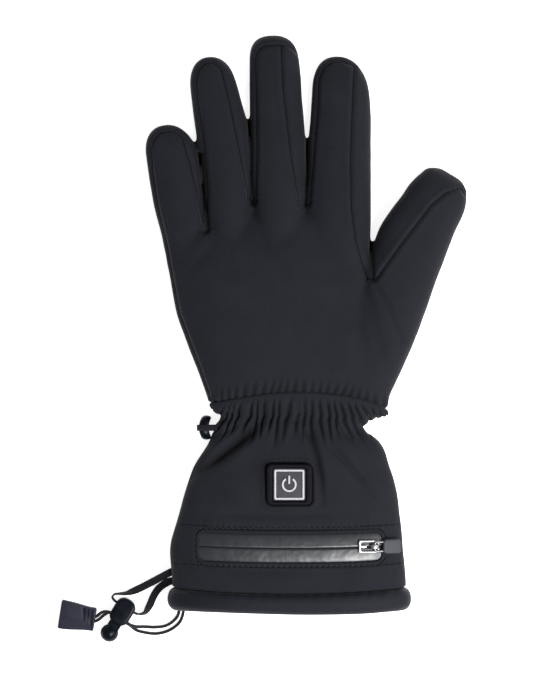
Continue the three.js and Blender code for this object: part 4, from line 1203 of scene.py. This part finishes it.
def add_webbing(look):
    path, reach, stops = smooth_path(WEBBING_ROUTE, 0.45)
    path = path + np.array(ROUTE_SHIFT)
    edge = np.interp(stops, reach, column(WEBBING_ROUTE, 3))
    (points, faces), across = tape_points(path, edge, WEBBING_WIDTH, WEBBING_THICKNESS)
    values = {"run": np.repeat(stops, len(across)), "turn": np.tile(across, len(path)) * WEBBING_WIDTH}
    made = dress(mesh_object("webbing_loop", points, faces, values), look, ["lock_loop"])
    return made


def add_clip(plastic, webbing):
    """The oval ring at the wrist's side, upright, and the folded tape that holds it."""
    low, high = node_box("wrist_clip")
    middle = (low + high) / 2
    shape = outline(CLIP_LENGTH - CLIP_BAR, CLIP_HEIGHT - CLIP_BAR, 4.0, 10)
    bow = CLIP_BOW * (shape[:, 0] / (CLIP_LENGTH - CLIP_BAR) * 2) ** 2
    path = np.column_stack([bow, shape]) + middle
    points, faces = closed_tube(path, 2.5, CLIP_BAR / 2, np.tile([1.0, 0, 0], (len(path), 1)), 20)
    dress(mesh_object("clip_ring", points, faces), plastic, ["wrist_clip"])

    bar_z = high[2] - CLIP_BAR / 2
    turns = np.linspace(math.pi / 2, 1.5 * math.pi, 30)
    fold = [(-3.1 * abs(math.cos(a)), 2.7 * math.sin(a)) for a in turns]
    straight = [(x, 2.7) for x in np.linspace(7.2, 0.4, 16)]
    route = straight + fold + [(x, -z) for x, z in straight[::-1]]
    path = np.array([(middle[0] + x, middle[1], bar_z + z) for x, z in route])
    course = course_of(path)
    thin = np.cross(course, [0, 1.0, 0])
    rim = [(-0.5, -0.15), (-0.45, -0.5), (0.45, -0.5), (0.5, -0.15)]
    rim += [(a * -1, b * -1) for a, b in rim]
    rings = [path + np.array([0, a * CLIP_TAPE, 0]) + b * CLIP_TAPE_THICKNESS * thin for a, b in rim]
    points, faces = tube(np.stack(rings, axis=1))
    run = np.repeat(np.arange(len(path)) * 0.45, len(rim))
    values = {"run": run, "turn": np.tile(column(rim, 0), len(path)) * 4.0}
    dress(mesh_object("clip_tape", points, faces, values), webbing, ["clip_strap"])


def stitch_line(points, spacing):
    """Places and courses of stitches along a line."""
    points = np.asarray(points, float)
    reach = reach_along(points)
    stops = np.arange(spacing / 2, reach[-1], spacing)
    x, y = (np.interp(stops, reach, points[:, i]) for i in range(2))
    ahead = [np.interp(stops + 0.2, reach, points[:, i]) for i in range(2)]
    return np.column_stack([x, y]), np.column_stack([ahead[0] - x, ahead[1] - y])


def add_stitches(cloth, look):
    """Thread along the zip's frame, in rows above and below it and over the switch."""
    tree = BVHTree.FromObject(cloth, bpy.context.evaluated_depsgraph_get())
    frame_line = outline(ZIP_LENGTH + 2 * WELT_LINE, ZIP_HEIGHT + 2 * WELT_LINE, ZIP_CORNER + 1.0, 10)
    frame_line = np.concatenate([frame_line, frame_line[:1]]) + np.array([ZIP_X, ZIP_Y])
    frame_line[:, 1] += zip_bow(frame_line[:, 0])
    lines = [frame_line]
    x = np.linspace(ZIP_X - 44, ZIP_X + 38, 40)
    for y in STITCH_ROWS:
        lines.append(np.column_stack([x, y + zip_bow(x)]))
    x = np.linspace(BADGE_X - 9, BADGE_X + 8, 20)
    bow = 0.012 * (x - BADGE_X) ** 2
    lines.append(np.column_stack([x, BADGE_Y + BADGE_HEIGHT / 2 + WELT_LINE - bow]))
    angle = np.linspace(0, 2 * math.pi, 8, endpoint=False)
    points = []
    faces = []
    for line in lines:
        for place, course in zip(*stitch_line(line, STITCH_PITCH)):
            above = Vector((*(place - ORIGIN[:2]) * MM, 0.1))
            hit, normal, _, _ = tree.ray_cast(above, Vector((0, 0, -1)))
            if hit is None:
                continue
            along = Vector((course[0], course[1], 0)).normalized()
            along = (along - along.dot(normal) * normal).normalized()
            side = normal.cross(along)
            start = len(points)
            for t in np.linspace(-1, 1, 7):
                thick = STITCH_RADIUS * math.sqrt(max(0.02, 1 - t**4))
                sag = 0.16 * (1 - t * t) - 0.10
                at = Vector(hit) / MM + Vector(ORIGIN) + along * t * STITCH_REACH + normal * sag
                points += [at + thick * (math.cos(a) * side + math.sin(a) * normal) for a in angle]
            faces += [tuple(start + i for i in face) for face in grid_faces(7, 8) + fans(7, 8)]
    dress(mesh_object("cuff_stitching", points, faces), look)


# Materials


def shader(name, colour, rough, specular=0.5, **constants):
    """A material with a principled shader, and that shader's tree."""
    look = bpy.data.materials.new(name)
    look.use_nodes = True
    tree = look.node_tree
    base = tree.nodes["Principled BSDF"]
    base.inputs["Base Color"].default_value = (*colour, 1)
    base.inputs["Roughness"].default_value = rough
    base.inputs["Specular IOR Level"].default_value = specular
    for key, value in constants.items():
        base.inputs[key.replace("_", " ")].default_value = value
    return look, tree, base


def node(tree, kind, inputs=None, **settings):
    made = tree.nodes.new("ShaderNode" + kind)
    for key, value in settings.items():
        setattr(made, key, value)
    for key, value in (inputs or {}).items():
        if isinstance(value, bpy.types.NodeSocket):
            tree.links.new(value, made.inputs[key])
        else:
            made.inputs[key].default_value = value
    return made


def stretched(tree, at, factors):
    return node(tree, "VectorMath", {0: at, 1: factors}, operation="MULTIPLY").outputs[0]


def millimetres(tree):
    """The place on the piece, in millimetres."""
    return stretched(tree, node(tree, "TexCoord").outputs["Object"], (1000, 1000, 1000))


def number(tree, name):
    return node(tree, "Attribute", attribute_name=name).outputs["Fac"]


def math_node(tree, operation, a, b=0.0, clamp=False):
    return node(tree, "Math", {0: a, 1: b}, operation=operation, use_clamp=clamp).outputs[0]


def map_range(tree, value, low, high, to_low=0.0, to_high=1.0):
    inputs = {"Value": value, "From Min": low, "From Max": high, "To Min": to_low, "To Max": to_high}
    return node(tree, "MapRange", inputs).outputs["Result"]


def noise_node(tree, at, size, detail=2.0, rough=0.5):
    inputs = {"Vector": at, "Scale": 1 / size, "Detail": detail, "Roughness": rough}
    return node(tree, "TexNoise", inputs).outputs["Fac"]


def mixed(tree, factor, a, b):
    """A colour between two, which are colours or sockets."""
    made = node(tree, "Mix", data_type="RGBA")
    for key, value in ((0, factor), (6, a), (7, b)):
        if isinstance(value, bpy.types.NodeSocket):
            tree.links.new(value, made.inputs[key])
        else:
            made.inputs[key].default_value = value if key == 0 else (*value, 1)
    return made.outputs[2]


def shade(colour, factor):
    return tuple(min(1.0, part * factor) for part in colour)


def bumped(tree, base, height, strength, distance):
    bump = node(tree, "Bump", {"Height": height, "Strength": strength, "Distance": distance * MM})
    tree.links.new(bump.outputs[0], base.inputs["Normal"])


def knit(tree, at, period):
    """Fine loops of a knit face, from 0 to 1."""
    scale = math.pi / 10 / period
    heights = []
    for turn in (0.62, -0.62):
        turned = node(tree, "VectorRotate", {"Vector": at, "Angle": turn}, rotation_type="Z_AXIS")
        inputs = {"Vector": turned.outputs[0], "Scale": scale, "Distortion": 0.6}
        inputs.update({"Detail": 1.0, "Detail Scale": 1.4})
        heights.append(node(tree, "TexWave", inputs, bands_direction="Y").outputs["Fac"])
    return math_node(tree, "MAXIMUM", *heights)


def sheen(weight, rough):
    return {"Sheen_Weight": weight, "Sheen_Roughness": rough}


def fabric(name, colour, rough, seam_width=0.0, period=0.75, **constants):
    """Knitted face fabric: mottled colour, fine loops, painted shade in its folds and creases, and a
    dark line with a furrow along its seams.
    """
    look, tree, base = shader(name, colour, rough, **constants)
    at = millimetres(tree)
    loops = knit(tree, at, period)
    cloud = noise_node(tree, at, 14.0, 3.0)
    fuzz = noise_node(tree, at, 0.9, 3.0, 0.7)
    tone = mixed(tree, map_range(tree, cloud, 0.3, 0.7), shade(colour, 0.86), shade(colour, 1.14))
    tone = mixed(tree, map_range(tree, fuzz, 0.35, 0.75, 0.0, 0.45), tone, shade(colour, 1.75))
    tone = mixed(tree, map_range(tree, loops, 0.0, 0.8, 0.35, 0.0), tone, shade(colour, 0.45))
    # Painted shade: the colour darkens nearly to black where the folds, gathers and finger creases lie, as
    # shade would fall there.
    tone = mixed(tree, math_node(tree, "MULTIPLY", number(tree, "valley_shade"), 0.8), tone, shade(colour, 0.12))
    height = math_node(tree, "ADD", loops, math_node(tree, "MULTIPLY", fuzz, 0.8))
    if seam_width:
        off = math_node(tree, "ABSOLUTE", number(tree, "seam"))
        furrow = map_range(tree, off, seam_width * 0.45, seam_width)
        tone = mixed(tree, furrow, shade(colour, 0.22), tone)
        height = math_node(tree, "ADD", height, math_node(tree, "MULTIPLY", furrow, 3.0))
    tree.links.new(tone, base.inputs["Base Color"])
    bumped(tree, base, height, 0.55, 0.16)
    return look


def woven(name, colour, rough, rib, cross, **constants):
    """Narrow tape or braid from the run along it and the turn across it."""
    look, tree, base = shader(name, colour, rough, **constants)
    run = math_node(tree, "MULTIPLY", number(tree, "run"), rib)
    turn = math_node(tree, "MULTIPLY", number(tree, "turn"), cross)
    one = math_node(tree, "SINE", math_node(tree, "ADD", run, turn))
    two = math_node(tree, "SINE", math_node(tree, "SUBTRACT", run, turn))
    weave = math_node(tree, "MULTIPLY", one, two)
    fuzz = noise_node(tree, millimetres(tree), 0.35, 2.0)
    tone = mixed(tree, map_range(tree, weave, -0.9, 0.9), shade(colour, 0.5), shade(colour, 1.5))
    tone = mixed(tree, map_range(tree, fuzz, 0.4, 0.8, 0.0, 0.5), tone, shade(colour, 2.2))
    tree.links.new(tone, base.inputs["Base Color"])
    bumped(tree, base, math_node(tree, "ADD", weave, fuzz), 0.8, 0.12)
    return look


def moulded_look(name, colour, rough, grain_size, strength, **constants):
    """Rubber or plastic with a fine moulded grain, faint marks and uneven gloss."""
    look, tree, base = shader(name, colour, rough, **constants)
    at = millimetres(tree)
    fine = noise_node(tree, at, grain_size, 2.0)
    cloud = noise_node(tree, at, 5.0, 3.0)
    tone = mixed(tree, map_range(tree, cloud, 0.3, 0.7), shade(colour, 0.82), shade(colour, 1.2))
    tree.links.new(tone, base.inputs["Base Color"])
    tree.links.new(map_range(tree, cloud, 0.25, 0.75, rough - 0.07, rough + 0.09), base.inputs["Roughness"])
    bumped(tree, base, fine, strength, 0.06)
    return look


def metal_look(name, colour, rough):
    """Worn metal with smears and fine scratches along it."""
    look, tree, base = shader(name, colour, rough, Metallic=1.0)
    at = millimetres(tree)
    smear = noise_node(tree, at, 1.4, 3.0)
    scratch = noise_node(tree, stretched(tree, at, (0.6, 6, 6)), 1.0, 2.0)
    tree.links.new(map_range(tree, smear, 0.3, 0.7, rough - 0.08, rough + 0.14), base.inputs["Roughness"])
    tone = mixed(tree, map_range(tree, smear, 0.35, 0.8), colour, shade(colour, 0.6))
    tree.links.new(tone, base.inputs["Base Color"])
    bumped(tree, base, scratch, 0.2, 0.03)
    return look


def coated_look(name, colour, rough):
    """The zip's laminate: glossy, a little wavy, with fine creases across it."""
    look, tree, base = shader(name, colour, rough, specular=0.4, Coat_Weight=0.35, Coat_Roughness=0.36)
    at = millimetres(tree)
    smear = noise_node(tree, at, 6.0, 3.0)
    creases = noise_node(tree, stretched(tree, at, (1.0, 0.25, 0.25)), 1.6, 2.0)
    tree.links.new(map_range(tree, smear, 0.3, 0.7, rough - 0.05, rough + 0.08), base.inputs["Roughness"])
    bumped(tree, base, creases, 0.25, 0.12)
    return look


def printed_look(name, colour, rough):
    look, tree, base = shader(name, colour, rough)
    at = millimetres(tree)
    wear = noise_node(tree, at, 0.5, 3.0, 0.7)
    tone = mixed(tree, map_range(tree, wear, 0.30, 0.52), shade(colour, 0.55), colour)
    tree.links.new(tone, base.inputs["Base Color"])
    bumped(tree, base, wear, 0.3, 0.05)
    return look


# Stage


def add_camera():
    data = bpy.data.cameras.new("camera")
    data.sensor_fit = "VERTICAL"
    data.sensor_height = SENSOR
    data.lens = SENSOR * (CAMERA_HEIGHT - VIEW_LEVEL) / VIEW_HEIGHT
    data.clip_start = 0.1
    camera = bpy.data.objects.new("camera", data)
    camera.location = (Vector((VIEW_X, VIEW_Y, CAMERA_HEIGHT)) - Vector(ORIGIN)) * MM
    bpy.context.scene.collection.objects.link(camera)
    bpy.context.scene.camera = camera


def add_light(name, place, size, power, colour=(1, 1, 1)):
    """A soft rectangular light that faces the glove's middle."""
    data = bpy.data.lights.new(name, "AREA")
    data.shape = "RECTANGLE"
    data.size, data.size_y = size
    data.energy = power
    data.color = colour
    lamp = bpy.data.objects.new(name, data)
    lamp.location = place
    aim = Vector((0, 0, 0)) - Vector(place)
    lamp.rotation_euler = aim.to_track_quat("-Z", "Y").to_euler()
    bpy.context.scene.collection.objects.link(lamp)


def add_stage():
    corners = [(a * FLOOR_REACH, b * FLOOR_REACH, -0.1) for a, b in ((-1, -1), (1, -1), (1, 1), (-1, 1))]
    floor = mesh_object("floor", corners, [(0, 1, 2, 3)])
    look, _, base = shader("floor_paper", (0.85, 0.85, 0.85), 0.9)
    base.inputs["Emission Color"].default_value = (1, 1, 1, 1)
    base.inputs["Emission Strength"].default_value = 0.8
    floor.data.materials.append(look)
    world = bpy.data.worlds.new("studio")
    world.use_nodes = True
    world.node_tree.nodes["Background"].inputs["Color"].default_value = (1, 1, 1, 1)
    world.node_tree.nodes["Background"].inputs["Strength"].default_value = 0.42
    bpy.context.scene.world = world
    add_light("key", (0.85, -0.12, 0.75), (0.5, 0.6), 6.5)
    add_light("low_strip", (0.35, -0.42, 0.90), (0.42, 0.26), 16)
    bpy.context.scene.view_settings.view_transform = "Standard"
    bpy.context.scene.view_settings.look = "None"


def build():
    add_camera()
    plastic = moulded_look("plastic", PLASTIC, 0.3, 0.35, 0.25, specular=0.1)
    tab_look = moulded_look("tab_rubber", TAB_RUBBER, 0.5, 0.4, 0.4, specular=0.25)
    pull_look = moulded_look("pull_rubber", PULL_RUBBER, 0.55, 0.4, 0.5, specular=0.2)
    webbing = woven("webbing", WEBBING, 0.85, 3.4, 3.1, specular=0.15, **sheen(0.05, 0.5))
    elastic = woven("elastic", ELASTIC, 0.75, 2.4, 3.0, specular=0.15, **sheen(0.05, 0.5))
    add_lock(plastic)
    pull_end = add_pull_end(pull_look)
    add_webbing(webbing)
    for name, route, cad in (
        ("drawcord_strand_inner", INNER_ROUTE, "drawcord_inner"),
        ("drawcord_strand_outer", OUTER_ROUTE, "drawcord_outer"),
    ):
        add_strand(name, route, cad, elastic)

    softshell = fabric("softshell", SOFTSHELL, 0.8, 0.42, specular=0.12, **sheen(0.05, 0.4))
    lining = fabric("lining", LINING, 0.95, 0.0, 1.1, specular=0.1, **sheen(0.1, 0.5))
    hem = fabric("hem_fabric", HEM, 0.6, 0.5, 0.6, specular=0.16, **sheen(0.08, 0.35))
    thread = woven("thread", THREAD, 0.7, 6.0, 1.0, specular=0.2)
    add_hand(softshell)
    add_hand_lining(lining)
    cuff = add_cuff(softshell)
    add_lining(lining)
    add_hem(hem)
    add_stitches(cuff, thread)
    add_tapes(coated_look("zip_laminate", LAMINATE, 0.37))
    add_slider(metal_look("zip_metal", METAL, 0.42), tab_look)
    rubber = moulded_look("badge_rubber", RUBBER, 0.55, 0.5, 0.3, specular=0.06)
    face_look = moulded_look("badge_grey", SWITCH_FACE, 0.5, 0.3, 0.2, specular=0.15)
    add_badge(rubber, face_look, printed_look("badge_white", SWITCH_PRINT, 0.5))
    add_clip(plastic, webbing)
    add_stage()


build()
